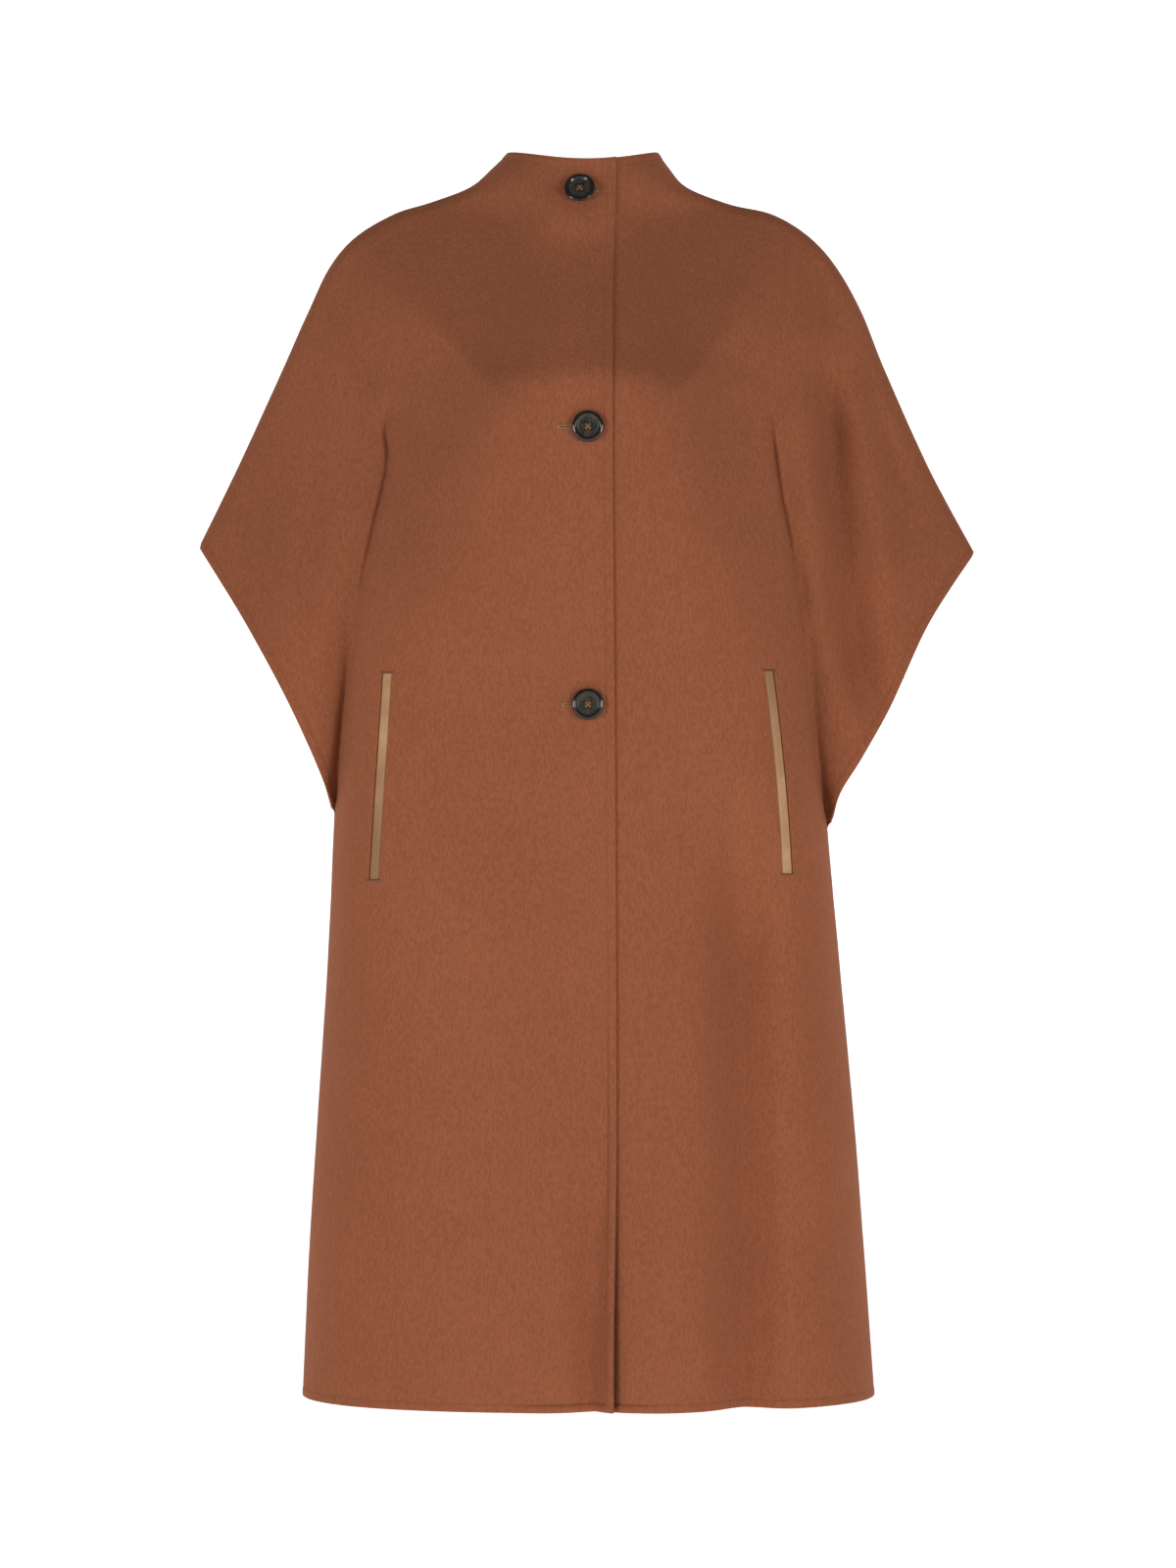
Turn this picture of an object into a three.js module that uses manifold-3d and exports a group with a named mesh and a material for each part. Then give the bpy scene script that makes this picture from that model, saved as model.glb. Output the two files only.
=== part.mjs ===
// A knee-length cape-coat in double-faced wool: a back and two overlapping fronts, each cut in one with its part of
// the funnel neck and of the wide half sleeves, with two welt pockets and three buttons. Millimetres, +Z up, the
// front faces -Y and the wearer's left is +X. The origin is the middle of the neck's base, between the shoulders.
// The cloth is filled out and hollow, as when worn: open at the neck, the hem and both sleeves.
import * as THREE from 'three';
import Module from 'manifold-3d';
import { mergeVertices } from 'three/addons/utils/BufferGeometryUtils.js';

const wasm = await Module();
wasm.setup();

// ---- Driving dimensions ----

const CLOTH = 2;
const SEAM_GAP = 0.3;
const HEM_Z = -1039;

// Each wearer's side. `overarm` runs from the collar's top edge over the shoulder to the sleeve's tip, `opening` from
// there along the sleeve's edge to the underarm, and `body` is the half width of the body: [half width, height].
// `crease` is where the sleeve folds out of the body's front.
const SIDES = {
  right: {
    sign: -1,
    overarm: [[70, 47], [83, 34], [103, 17], [137, 4], [169, -6], [203, -26], [226, -53], [245, -93], [268, -145],
      [307, -230], [340, -298]],
    opening: [[340, -298], [295, -368], [257, -437], [226, -506], [220, -530]],
    body: [[203, -150], [207, -300], [220, -530], [227, -661], [240, -867], [249, HEM_Z]],
    crease: [[165, -150], [172, -188], [186, -282], [199, -346], [209, -437], [220, -530]],
  },
  left: {
    sign: 1,
    overarm: [[63, 47], [72, 34], [88, 17], [125, 3], [163, -6], [195, -26], [219, -53], [241, -93], [262, -145],
      [301, -230], [340, -303]],
    opening: [[340, -303], [296, -368], [263, -437], [237, -484], [218, -515], [210, -543]],
    body: [[184, -150], [192, -300], [210, -543], [221, -660], [238, -850], [252, HEM_Z]],
    crease: [[157, -150], [160, -204], [175, -304], [188, -388], [200, -498], [210, -543]],
  },
};

// The middle of the front and of the back, as [depth, height] down from the collar, and the heights there of the
// rings that end at the sleeve's tip and at the underarm.
const FACES = {
  front: {
    sign: -1,
    middle: [[63, 35], [66, 5], [71, -22], [98, -68], [118, -102], [141, -143], [148, -158], [149.5, -175],
      [149.5, -300], [149, -500], [150, -760], [153, HEM_Z]],
    tipZ: -318,
    underarmZ: -537,
  },
  back: {
    sign: 1,
    middle: [[60, 50], [64, 20], [72, -10], [98, -70], [116, -140], [123, -210], [124, -320], [126, -500],
      [137, -760], [150, HEM_Z]],
    tipZ: -318,
    underarmZ: -537,
  },
};

// The body's plan is a superellipse: [power, height]. The sleeve is a flattened tube under the overarm, with this half
// thickness at distances up from the tip.
const BODY_POWER = [[2, -100], [1.9, -140], [2.4, -178], [2.8, -240], [3.3, -340], [3.4, -520], [3, -640],
  [2.6, -880], [2.45, HEM_Z]];
const SLEEVE_HALF = [[78, 0], [82, 60], [84, 130], [86, 200], [84, 300], [76, 600]];
const SLEEVE_POWER = { over: 3, under: 6 };
const FILLET_POWER = 16;

// The cloth bends over the overarm with this radius at distances from the collar, and slopes out from there: by how
// much near the middle and further out, and the half widths where one changes to the other. Further from the overarm
// than `beyond` the slope steepens on a parabola.
const SHOULDER_ROUND = [[32, 0], [16, 25], [11, 60], [11, 900]];
const SHOULDER_SLOPE = { middle: 0.85, outer: 0.6, from: 20, to: 110 };
const SHOULDER_STEEPENS = { beyond: 120, radius: 250 };
const SHOULDER_POWER = 8;

// The collar is round, and the rings settle into the draped form between these two.
const SETTLES = [0.03, 0.17];

// Soft folds, each a path of [x, height] with its half width and its depth, troughs above 0 and ridges below.
const FOLDS = {
  front: [
    { path: [[125, -470], [136, -820], [134, HEM_Z]], width: 24, depth: 20 },
    { path: [[72, -600], [66, HEM_Z]], width: 26, depth: -5 },
    { path: [[9, -700], [8, HEM_Z]], width: 20, depth: 11 },
    { path: [[204, -142], [215, -237], [225, -338], [248, -475]], width: 17, depth: 16 },
    { path: [[192, -100], [196, -338]], width: 10, depth: -4 },
    { path: [[-236, -190], [-240, -380]], width: 13, depth: 4 },
  ],
  back: [
    { path: [[-110, -560], [-118, -800], [-122, HEM_Z]], width: 30, depth: 9 },
    { path: [[96, -600], [108, -800], [112, HEM_Z]], width: 28, depth: 8 },
    { path: [[-245, -240], [-254, -390]], width: 15, depth: 7 },
    { path: [[250, -230], [262, -380]], width: 15, depth: 7 },
  ],
};
const FOLD_FADE = 110;
const FOLDS_FROM = [5, 30];

// The fronts overlap: the right one lies on top to its own edge, and the left one goes on under it.
const FRONT_EDGE = [[25, 35], [21.5, -115], [24, -500], [26.5, HEM_Z]];
const UNDERLAP = 32;
const LAP_LIFT = CLOTH + SEAM_GAP;
const LAP_BLEND = 45;
const EDGE_OPENS = 6;
const EDGE_OPENS_FROM = -760;

// The grid of each wall: columns from the middle to a seam, of which some lie before the sleeve's crease, and rings in
// each zone. The crease's column keeps between these angles round the ring, above and below the sleeve's tip.
const COLUMNS = 11;
const COLUMNS_TO_CREASE = 5;
const LAP_COLUMNS = 3;
const RINGS = { overarm: 17, opening: 9, side: 11 };
const CREASE_DEGREES = { least: 32, most: 46, mostBelowTip: 66 };
const SEAM_SAMPLES = 80;
const BEYOND_TIP = 500;

// Each pocket's slit runs down the front between these two points, [x, height].
const POCKETS = {
  right: { top: [-170.5, -411], bottom: [-182, -588] },
  left: { top: [155, -409], bottom: [171.4, -583] },
};
const WELT_WIDTH = 10.5;
const WELT_RISE = 0.5;
const WELT_SINK = 0.2;
const WELT_STEPS = 8;
const SLIT_REACH = { high: 6, low: -9 };

// Buttons, on the chest line of the lap, [x, height], and how far each buttonhole goes on towards the side.
const BUTTONS = {
  collar: { at: [-5.9, 6.3], hole: [-12, 14.6] },
  chest: { at: [0.9, -203.1], hole: [-24.8, 2] },
  waist: { at: [0.9, -438.5], hole: [-20.8, 2] },
};
const BUTTON = { radius: 13.4, thick: 4.6, rim: 4, dish: 1.3, holeRadius: 1.1, holeOffset: 2.7, stand: 1.6 };
const BUTTONHOLE = 1.2;

// ---- Curves ----

function smoothCurve(points) {
  return new THREE.SplineCurve(points.map(([a, b]) => new THREE.Vector2(a, b)));
}

// The first number of each pair as a smooth function of the second, held at both ends.
function profile(pairs) {
  const sorted = [...pairs].sort((a, b) => b[1] - a[1]);
  return (at) => {
    const last = sorted.length - 1;
    if (at >= sorted[0][1]) return sorted[0][0];
    if (at <= sorted[last][1]) return sorted[last][0];
    const i = sorted.findIndex(([, key]) => key < at) - 1;
    const slope = (k) => {
      const [a, b] = [sorted[Math.max(k - 1, 0)], sorted[Math.min(k + 1, last)]];
      return (b[0] - a[0]) / (b[1] - a[1]);
    };
    const [a, b] = [sorted[i], sorted[i + 1]];
    const step = b[1] - a[1];
    const f = (at - a[1]) / step;
    const g = 1 - f;
    return a[0] * g * g * (1 + 2 * f) + b[0] * f * f * (1 + 2 * g)
      + step * (slope(i) * f * g * g - slope(i + 1) * f * f * g);
  };
}

const smoothstep = THREE.MathUtils.smoothstep;
const lerp = THREE.MathUtils.lerp;
const clamp = THREE.MathUtils.clamp;

function superellipse(ratio, power) {
  return (1 - Math.min(Math.abs(ratio), 1) ** power) ** (1 / power);
}

// Where the closest point of a path lies, as the distance to it and the length along it.
function nearest(path, x, z) {
  let best = { distance: Infinity, along: 0 };
  let length = 0;
  for (let i = 1; i < path.length; i += 1) {
    const [ax, az] = path[i - 1];
    const [dx, dz] = [path[i][0] - ax, path[i][1] - az];
    const size = Math.hypot(dx, dz);
    const f = clamp(((x - ax) * dx + (z - az) * dz) / (size * size), 0, 1);
    const distance = Math.hypot(x - ax - f * dx, z - az - f * dz);
    if (distance < best.distance) best = { distance, along: length + f * size };
    length += size;
  }
  return { ...best, left: length - best.along };
}

// ---- The cloth's form ----

const sleeveHalf = profile(SLEEVE_HALF);
const bodyPower = profile(BODY_POWER);
const shoulderRound = profile(SHOULDER_ROUND);
const frontEdge = profile(FRONT_EDGE);

const sides = Object.fromEntries(Object.entries(SIDES).map(([name, side]) => {
  const overarm = smoothCurve(side.overarm);
  const seam = overarm.getSpacedPoints(SEAM_SAMPLES).map((p) => [p.x, p.y]);
  const [end, before] = [seam.at(-1), seam.at(-4)];
  const run = BEYOND_TIP / Math.hypot(end[0] - before[0], end[1] - before[1]);
  const beyond = [end[0] + (end[0] - before[0]) * run, end[1] + (end[1] - before[1]) * run];
  const line = [...seam, beyond];
  const underarm = side.opening.at(-1);
  return [name, {
    ...side,
    overarmCurve: overarm,
    openingCurve: smoothCurve(side.opening),
    line,
    seamLength: nearest(line, ...end).along,
    sleeveWidth: nearest(line, ...underarm).distance,
    bodyHalf: profile(side.body),
    creaseX: profile(side.crease),
    underarmZ: underarm[1],
  }];
}));

const faces = Object.fromEntries(Object.entries(FACES).map(([name, face]) => [name, {
  ...face, depth: profile(face.middle), topZ: face.middle[0][1], folds: FOLDS[name],
}]));

function foldDepth(face, x, z) {
  let depth = 0;
  for (const { path, width, depth: deep } of face.folds) {
    const { distance, along, left } = nearest(path, x, z);
    const open = path.at(-1)[1] === HEM_Z;
    const fade = smoothstep(along, -1, FOLD_FADE) * (open ? 1 : smoothstep(left, -1, FOLD_FADE));
    depth += deep * fade * Math.exp(-((distance / width) ** 2));
  }
  return depth;
}

// How far the cloth stands off the plane of the side seams: the fuller of body and sleeve, but no more than the slope
// that falls from the shoulder.
function drapedDepth(face, x, z) {
  const side = x < 0 ? sides.right : sides.left;
  const body = face.depth(z) * superellipse(x / side.bodyHalf(z), bodyPower(z));
  const { distance, along } = nearest(side.line, Math.abs(x), z);
  const across = Math.min(distance / side.sleeveWidth, 1);
  const half = sleeveHalf(Math.max(side.seamLength - along, 0));
  const sleeve = half * superellipse(2 * across - 1, across < 0.5 ? SLEEVE_POWER.over : SLEEVE_POWER.under);
  const fullest = (body ** FILLET_POWER + sleeve ** FILLET_POWER) ** (1 / FILLET_POWER);
  const bend = shoulderRound(along);
  const { middle, outer, from, to } = SHOULDER_SLOPE;
  const slope = lerp(middle, outer, smoothstep(Math.abs(x), from, to));
  const steeper = Math.max(distance - SHOULDER_STEEPENS.beyond, 0) ** 2 / SHOULDER_STEEPENS.radius;
  const top = bend * Math.sqrt(1 - (1 - Math.min(distance / bend, 1)) ** 2) + slope * distance + steeper;
  const held = (value) => Math.max(value, 1e-3) ** -SHOULDER_POWER;
  const draped = (held(fullest) + held(top)) ** (-1 / SHOULDER_POWER);
  return draped - foldDepth(face, x, z) * smoothstep(draped, ...FOLDS_FROM);
}

// The outer end of a ring on one side, [half width, height], and the ring's height at the middle. `ring` is 0 to 1
// along the overarm, 1 to 2 along the sleeve's opening and 2 to 3 down the side seam.
function ringEnd(side, face, ring) {
  if (ring <= 1) {
    const p = side.overarmCurve.getPointAt(clamp(ring, 0, 1));
    return { x: p.x, z: p.y, middle: lerp(face.topZ, face.tipZ, ring) };
  }
  if (ring <= 2) {
    const p = side.openingCurve.getPointAt(ring - 1);
    return { x: p.x, z: p.y, middle: lerp(face.tipZ, face.underarmZ, ring - 1) };
  }
  const z = lerp(side.underarmZ, HEM_Z, ring - 2);
  return { x: side.bodyHalf(z), z, middle: lerp(face.underarmZ, HEM_Z, ring - 2) };
}

// A point of the outer surface. `turn` is the angle round the ring, 0 at the middle and a quarter turn at its end.
function clothPoint(side, face, ring, turn) {
  const end = ringEnd(side, face, ring);
  const s = Math.sin(turn);
  const x = side.sign * end.x * s;
  const z = lerp(end.middle, end.z, s * s);
  const round = face.depth(end.middle) * superellipse(s, 2);
  const settled = smoothstep(ring, ...SETTLES);
  const depth = settled > 0 ? lerp(round, drapedDepth(face, x, z), settled) : round;
  const atSeam = Math.abs(s) > 1 - 1e-9 && (ring <= 1 || ring >= 2);
  return new THREE.Vector3(x, face.sign * ((atSeam ? 0 : depth) + SEAM_GAP / 2), z);
}

// The angle of each column from the middle to the side, with one column kept on the sleeve's crease.
function turnAt(side, face, ring, first, part) {
  const end = ringEnd(side, face, ring);
  const at = Math.asin(clamp(side.creaseX(end.z) / end.x, 0, 1));
  const { least, most, mostBelowTip } = CREASE_DEGREES;
  const degrees = clamp(THREE.MathUtils.radToDeg(at), least, ring > 1 ? mostBelowTip : most);
  const crease = THREE.MathUtils.degToRad(degrees);
  const split = COLUMNS_TO_CREASE / COLUMNS;
  const quarter = Math.PI / 2;
  return part <= split ? lerp(first, crease, part / split) : lerp(crease, quarter, (part - split) / (1 - split));
}

const ringList = [];
const zones = Object.values(RINGS);
zones.forEach((count, zone) => {
  for (let i = 0; i < count; i += 1) ringList.push(zone + i / count);
});
ringList.push(zones.length);

// ---- Walls ----

// The cloth's grid of outer points: a list of rings, each running the way that keeps the outside on its left.
function normalsOf(grid, flatAt) {
  const at = (j, i) => grid[clamp(j, 0, grid.length - 1)][clamp(i, 0, grid[0].length - 1)];
  return grid.map((row, j) => row.map((_, i) => {
    const across = at(j, i + 1).clone().sub(at(j, i - 1));
    const down = at(j + 1, i).clone().sub(at(j - 1, i));
    const normal = down.cross(across);
    if (flatAt(j, i)) normal.y = 0;
    return normal.normalize();
  }));
}

function shifted(grid, normals, offset) {
  return grid.map((row, j) => row.map((p, i) => p.clone().addScaledVector(normals[j][i], offset(j, i))));
}

// One closed wall between two grids of points.
function wallGeometry(outer, inner) {
  const [rows, columns] = [outer.length, outer[0].length];
  const positions = [...outer, ...inner].flat().flatMap((p) => [p.x, p.y, p.z]);
  const index = [];
  const out = (j, i) => j * columns + i;
  const back = (j, i) => (rows + j) * columns + i;
  const quad = (a, b, c, d) => index.push(a, b, c, a, c, d);
  for (let j = 0; j < rows - 1; j += 1) {
    for (let i = 0; i < columns - 1; i += 1) {
      quad(out(j, i), out(j + 1, i), out(j + 1, i + 1), out(j, i + 1));
      quad(back(j, i), back(j, i + 1), back(j + 1, i + 1), back(j + 1, i));
    }
  }
  const last = { j: rows - 1, i: columns - 1 };
  for (let i = 0; i < last.i; i += 1) {
    quad(out(0, i), out(0, i + 1), back(0, i + 1), back(0, i));
    quad(out(last.j, i + 1), out(last.j, i), back(last.j, i), back(last.j, i + 1));
  }
  for (let j = 0; j < last.j; j += 1) {
    quad(out(j + 1, 0), out(j, 0), back(j, 0), back(j + 1, 0));
    quad(out(j, last.i), out(j + 1, last.i), back(j + 1, last.i), back(j, last.i));
  }
  const geometry = new THREE.BufferGeometry();
  geometry.setAttribute('position', new THREE.Float32BufferAttribute(positions, 3));
  geometry.setIndex(index);
  return geometry;
}

// ---- Cutting ----

function solidOf(geometry) {
  const bare = new THREE.BufferGeometry();
  bare.setAttribute('position', geometry.getAttribute('position').clone());
  bare.setIndex(geometry.getIndex());
  const merged = mergeVertices(bare, 1e-4);
  return new wasm.Manifold(new wasm.Mesh({
    numProp: 3,
    vertProperties: new Float32Array(merged.getAttribute('position').array),
    triVerts: new Uint32Array(merged.getIndex().array),
  }));
}

function cut(geometry, cutters) {
  const solid = cutters.reduce((left, cutter) => left.subtract(solidOf(cutter)), solidOf(geometry));
  const mesh = solid.getMesh();
  const result = new THREE.BufferGeometry();
  result.setAttribute('position', new THREE.Float32BufferAttribute(mesh.vertProperties, 3));
  result.setIndex([...mesh.triVerts]);
  return result;
}

// ---- Panels ----

function panelGrid(face, columnsAt) {
  return ringList.map((ring) => columnsAt(ring).map(([side, turn]) => clothPoint(side, face, ring, turn)));
}

function isSeamRing(j) {
  return ringList[j] <= 1 || ringList[j] >= 2;
}

function backPanel() {
  const columnsAt = (ring) => {
    const half = (side) => Array.from({ length: COLUMNS }, (_, i) => (
      [side, turnAt(side, faces.back, ring, 0, (i + 1) / COLUMNS)]));
    return [...half(sides.left).reverse(), [sides.left, 0], ...half(sides.right)];
  };
  const grid = panelGrid(faces.back, columnsAt);
  const last = grid[0].length - 1;
  const normals = normalsOf(grid, (j, i) => isSeamRing(j) && (i === 0 || i === last));
  return wallGeometry(grid, shifted(grid, normals, () => -CLOTH));
}

// The columns of the whole front, from the right side seam over the lap to the left side seam.
function frontColumns(ring) {
  const [right, left] = [ringEnd(sides.right, faces.front, ring), ringEnd(sides.left, faces.front, ring)];
  const under = Math.asin(UNDERLAP / right.x);
  const over = Math.asin(frontEdge(right.middle) / left.x);
  const half = (side, first) => Array.from({ length: COLUMNS }, (_, i) => (
    [side, turnAt(side, faces.front, ring, first, (i + 1) / COLUMNS)]));
  const lap = [[sides.right, under], [sides.right, under / 2], [sides.left, 0], [sides.left, over]];
  return [...half(sides.right, under).reverse(), ...lap, ...half(sides.left, over)];
}

const frontGrid = panelGrid(faces.front, frontColumns);
const frontLast = frontGrid[0].length - 1;
const frontNormals = normalsOf(frontGrid, (j, i) => isSeamRing(j) && (i === 0 || i === frontLast));

// How far the right front's outer face stands off the form, at a point of it.
function lapLift(p) {
  const lies = smoothstep(p.x, -UNDERLAP - LAP_BLEND, -UNDERLAP);
  const opens = smoothstep(-p.z, -EDGE_OPENS_FROM, -HEM_Z) * smoothstep(p.x, -UNDERLAP, UNDERLAP);
  return LAP_LIFT * lies + EDGE_OPENS * opens;
}

// A solid that follows the front between two points, `width` across, from `high` above the form to `low` below it.
function stripOnFront([ax, az], [bx, bz], width, high, low) {
  const onForm = (x, z) => new THREE.Vector3(x, -drapedDepth(faces.front, x, z) - SEAM_GAP / 2, z);
  const way = new THREE.Vector2(bx - ax, bz - az).normalize();
  const grid = Array.from({ length: WELT_STEPS + 1 }, (_, j) => {
    const [x, z] = [lerp(ax, bx, j / WELT_STEPS), lerp(az, bz, j / WELT_STEPS)];
    const step = 0.5;
    const slope = (onForm(x + step, z).y - onForm(x - step, z).y) / (2 * step);
    const reach = width / Math.hypot(1, slope);
    return [-0.5, -0.25, 0, 0.25, 0.5].map((u) => onForm(x - u * reach * way.y, z + u * reach * way.x));
  });
  const normals = normalsOf(grid, () => false);
  const rise = (level) => (typeof level === 'function' ? (j, i) => level(i) : () => level);
  return wallGeometry(shifted(grid, normals, rise(high)), shifted(grid, normals, rise(low)));
}

function pocketSlit({ top, bottom }) {
  const over = SEAM_GAP / Math.hypot(bottom[0] - top[0], bottom[1] - top[1]);
  const longer = (from, to) => [lerp(from[0], to[0], -over), lerp(from[1], to[1], -over)];
  return stripOnFront(longer(top, bottom), longer(bottom, top), WELT_WIDTH + 2 * SEAM_GAP,
    SLIT_REACH.high, SLIT_REACH.low);
}

function pocketWelt({ top, bottom }) {
  const shoulder = WELT_RISE * 0.7;
  const crown = (i) => [-WELT_SINK, shoulder, WELT_RISE, shoulder, -WELT_SINK][i];
  return stripOnFront(top, bottom, WELT_WIDTH, crown, -CLOTH);
}

// The form's point and outward direction under a button.
function lapPlace(x, z) {
  const row = frontGrid.map((points) => points[COLUMNS + 1]);
  const j = clamp(row.findIndex((p) => p.z < z), 1, row.length - 1);
  const f = (row[j - 1].z - z) / (row[j - 1].z - row[j].z);
  const normal = frontNormals[j - 1][COLUMNS + 1].clone().lerp(frontNormals[j][COLUMNS + 1], f).normalize();
  return { point: new THREE.Vector3(x, lerp(row[j - 1].y, row[j].y, f), z), normal };
}

function buttonholeCutter({ at: [x, z], hole: [from, to] }) {
  const { point } = lapPlace(x, z);
  const slot = new THREE.BoxGeometry(to - from, 30, BUTTONHOLE);
  slot.translate((from + to) / 2, point.y, z);
  return slot;
}

function rightFront() {
  const edge = COLUMNS + LAP_COLUMNS + 1;
  const grid = frontGrid.map((row) => row.slice(0, edge));
  const normals = frontNormals.map((row) => row.slice(0, edge));
  const outer = shifted(grid, normals, (j, i) => lapLift(grid[j][i]));
  const inner = shifted(grid, normals, (j, i) => lapLift(grid[j][i]) - CLOTH);
  const cutters = [pocketSlit(POCKETS.right), ...Object.values(BUTTONS).map(buttonholeCutter)];
  return cut(wallGeometry(outer, inner), cutters);
}

function leftFront() {
  const grid = frontGrid.map((row) => row.slice(COLUMNS));
  const normals = frontNormals.map((row) => row.slice(COLUMNS));
  return cut(wallGeometry(grid, shifted(grid, normals, () => -CLOTH)), [pocketSlit(POCKETS.left)]);
}

// ---- Buttons ----

function buttonGeometry() {
  const { radius, thick, rim, dish, holeRadius, holeOffset } = BUTTON;
  const outline = [
    [0, 0], [radius * 0.72, 0], [radius * 0.93, thick * 0.28], [radius, thick * 0.58],
    [radius - rim * 0.22, thick * 0.9], [radius - rim * 0.5, thick], [radius - rim * 0.8, thick * 0.93],
    [radius - rim, thick - dish], [0, thick - dish],
  ];
  const disc = new THREE.LatheGeometry(outline.map(([r, h]) => new THREE.Vector2(r, h)), 32);
  const holes = [45, 135, 225, 315].map((degrees) => {
    const turn = THREE.MathUtils.degToRad(degrees);
    const hole = new THREE.CylinderGeometry(holeRadius, holeRadius, 3 * thick, 10);
    hole.translate(holeOffset * Math.SQRT2 * Math.cos(turn), 0, holeOffset * Math.SQRT2 * Math.sin(turn));
    return hole;
  });
  return cut(disc, holes);
}

function buttonMesh(name, { at: [x, z] }) {
  const { point, normal } = lapPlace(x, z);
  const mesh = new THREE.Mesh(buttonGeometry(), horn(name));
  mesh.name = name;
  mesh.quaternion.setFromUnitVectors(new THREE.Vector3(0, 1, 0), normal);
  mesh.position.copy(point).addScaledVector(normal, LAP_LIFT + BUTTON.stand);
  return mesh;
}

// ---- Finishes and assembly ----

function wool(name) {
  return new THREE.MeshStandardMaterial({ name, color: 0x925a3e, roughness: 0.95, metalness: 0 });
}

function leather(name) {
  return new THREE.MeshStandardMaterial({ name, color: 0xb29b7d, roughness: 0.5, metalness: 0 });
}

function horn(name) {
  return new THREE.MeshStandardMaterial({ name, color: 0x3a2c24, roughness: 0.25, metalness: 0 });
}

function named(name, geometry, finish) {
  const mesh = new THREE.Mesh(geometry, finish(name));
  mesh.name = name;
  return mesh;
}

const cape = new THREE.Group();
cape.add(
  named('back', backPanel(), wool),
  named('front_right', rightFront(), wool),
  named('front_left', leftFront(), wool),
  named('pocket_welt_right', pocketWelt(POCKETS.right), leather),
  named('pocket_welt_left', pocketWelt(POCKETS.left), leather),
  buttonMesh('button_collar', BUTTONS.collar),
  buttonMesh('button_chest', BUTTONS.chest),
  buttonMesh('button_waist', BUTTONS.waist),
);

export default cape;
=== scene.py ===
"""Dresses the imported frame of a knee-length wool cape-coat: cloth, welts, buttons, stitching and studio."""
import logging
import math
from dataclasses import dataclass, field
from enum import Enum
from functools import cached_property

import bmesh
import bpy
import numpy as np
from mathutils import Matrix, Vector, noise
from mathutils.kdtree import KDTree


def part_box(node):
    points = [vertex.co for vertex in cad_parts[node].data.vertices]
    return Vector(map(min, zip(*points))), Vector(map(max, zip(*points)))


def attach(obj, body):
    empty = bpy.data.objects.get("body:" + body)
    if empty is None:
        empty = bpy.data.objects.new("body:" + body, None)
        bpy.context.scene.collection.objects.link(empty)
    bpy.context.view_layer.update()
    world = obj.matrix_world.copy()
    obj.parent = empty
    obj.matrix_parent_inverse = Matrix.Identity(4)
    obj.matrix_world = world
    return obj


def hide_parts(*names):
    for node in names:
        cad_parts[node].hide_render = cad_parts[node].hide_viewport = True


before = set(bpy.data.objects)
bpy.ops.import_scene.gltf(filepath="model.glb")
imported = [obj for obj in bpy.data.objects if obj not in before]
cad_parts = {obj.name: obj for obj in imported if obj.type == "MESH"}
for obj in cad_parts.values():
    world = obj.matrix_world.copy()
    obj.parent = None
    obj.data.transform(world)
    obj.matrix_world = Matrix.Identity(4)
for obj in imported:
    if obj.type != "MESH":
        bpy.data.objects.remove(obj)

LOG = logging.getLogger("cape")
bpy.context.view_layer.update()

MM = 0.001
HEM_Z = round(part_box("back")[0][2] / MM, 1)
CLOTH_THICKNESS = 2.0
SEAM_HALF_GAP = 0.06
AT_SEAM = 1 - 1e-9
ROW_MARGIN = 1e-6
SEAM_POINTS = 81
PAST_SEAM = 500.0
FOLD_POINTS = 21
CREASE_POINTS = 61

Pairs = tuple[tuple[float, float], ...]
Colour = tuple[float, float, float]


class Side(Enum):
    """One of the wearer's sides, with the sign of its half widths."""

    RIGHT = -1
    LEFT = 1


class Face(Enum):
    """The front or the back of the cape, with the sign of its depths."""

    FRONT = -1
    BACK = 1


# ---- Curves ----


@dataclass(frozen=True)
class Profile:
    """A smooth function through (value, key) pairs, held at both ends."""

    pairs: Pairs

    def __call__(self, keys: np.ndarray | float) -> np.ndarray:
        """Reads the function.

        Args:
            keys: Where to read it.

        Returns:
            The values there, in the shape of keys.
        """
        pairs = np.array(sorted(self.pairs, key=lambda pair: pair[1]))
        value, key = pairs[:, 0], pairs[:, 1]
        last = len(pairs) - 1
        index = np.arange(last + 1)
        after, before = np.minimum(index + 1, last), np.maximum(index - 1, 0)
        slope = (value[after] - value[before]) / (key[after] - key[before])
        at = np.clip(keys, key[0], key[-1])
        i = np.clip(np.searchsorted(key, at, side="right") - 1, 0, last - 1)
        step = key[i + 1] - key[i]
        f = (at - key[i]) / step
        g = 1 - f
        ends = value[i] * g * g * (1 + 2 * f) + value[i + 1] * f * f * (1 + 2 * g)
        return ends + step * (slope[i] * f * g * g - slope[i + 1] * f * f * g)


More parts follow.
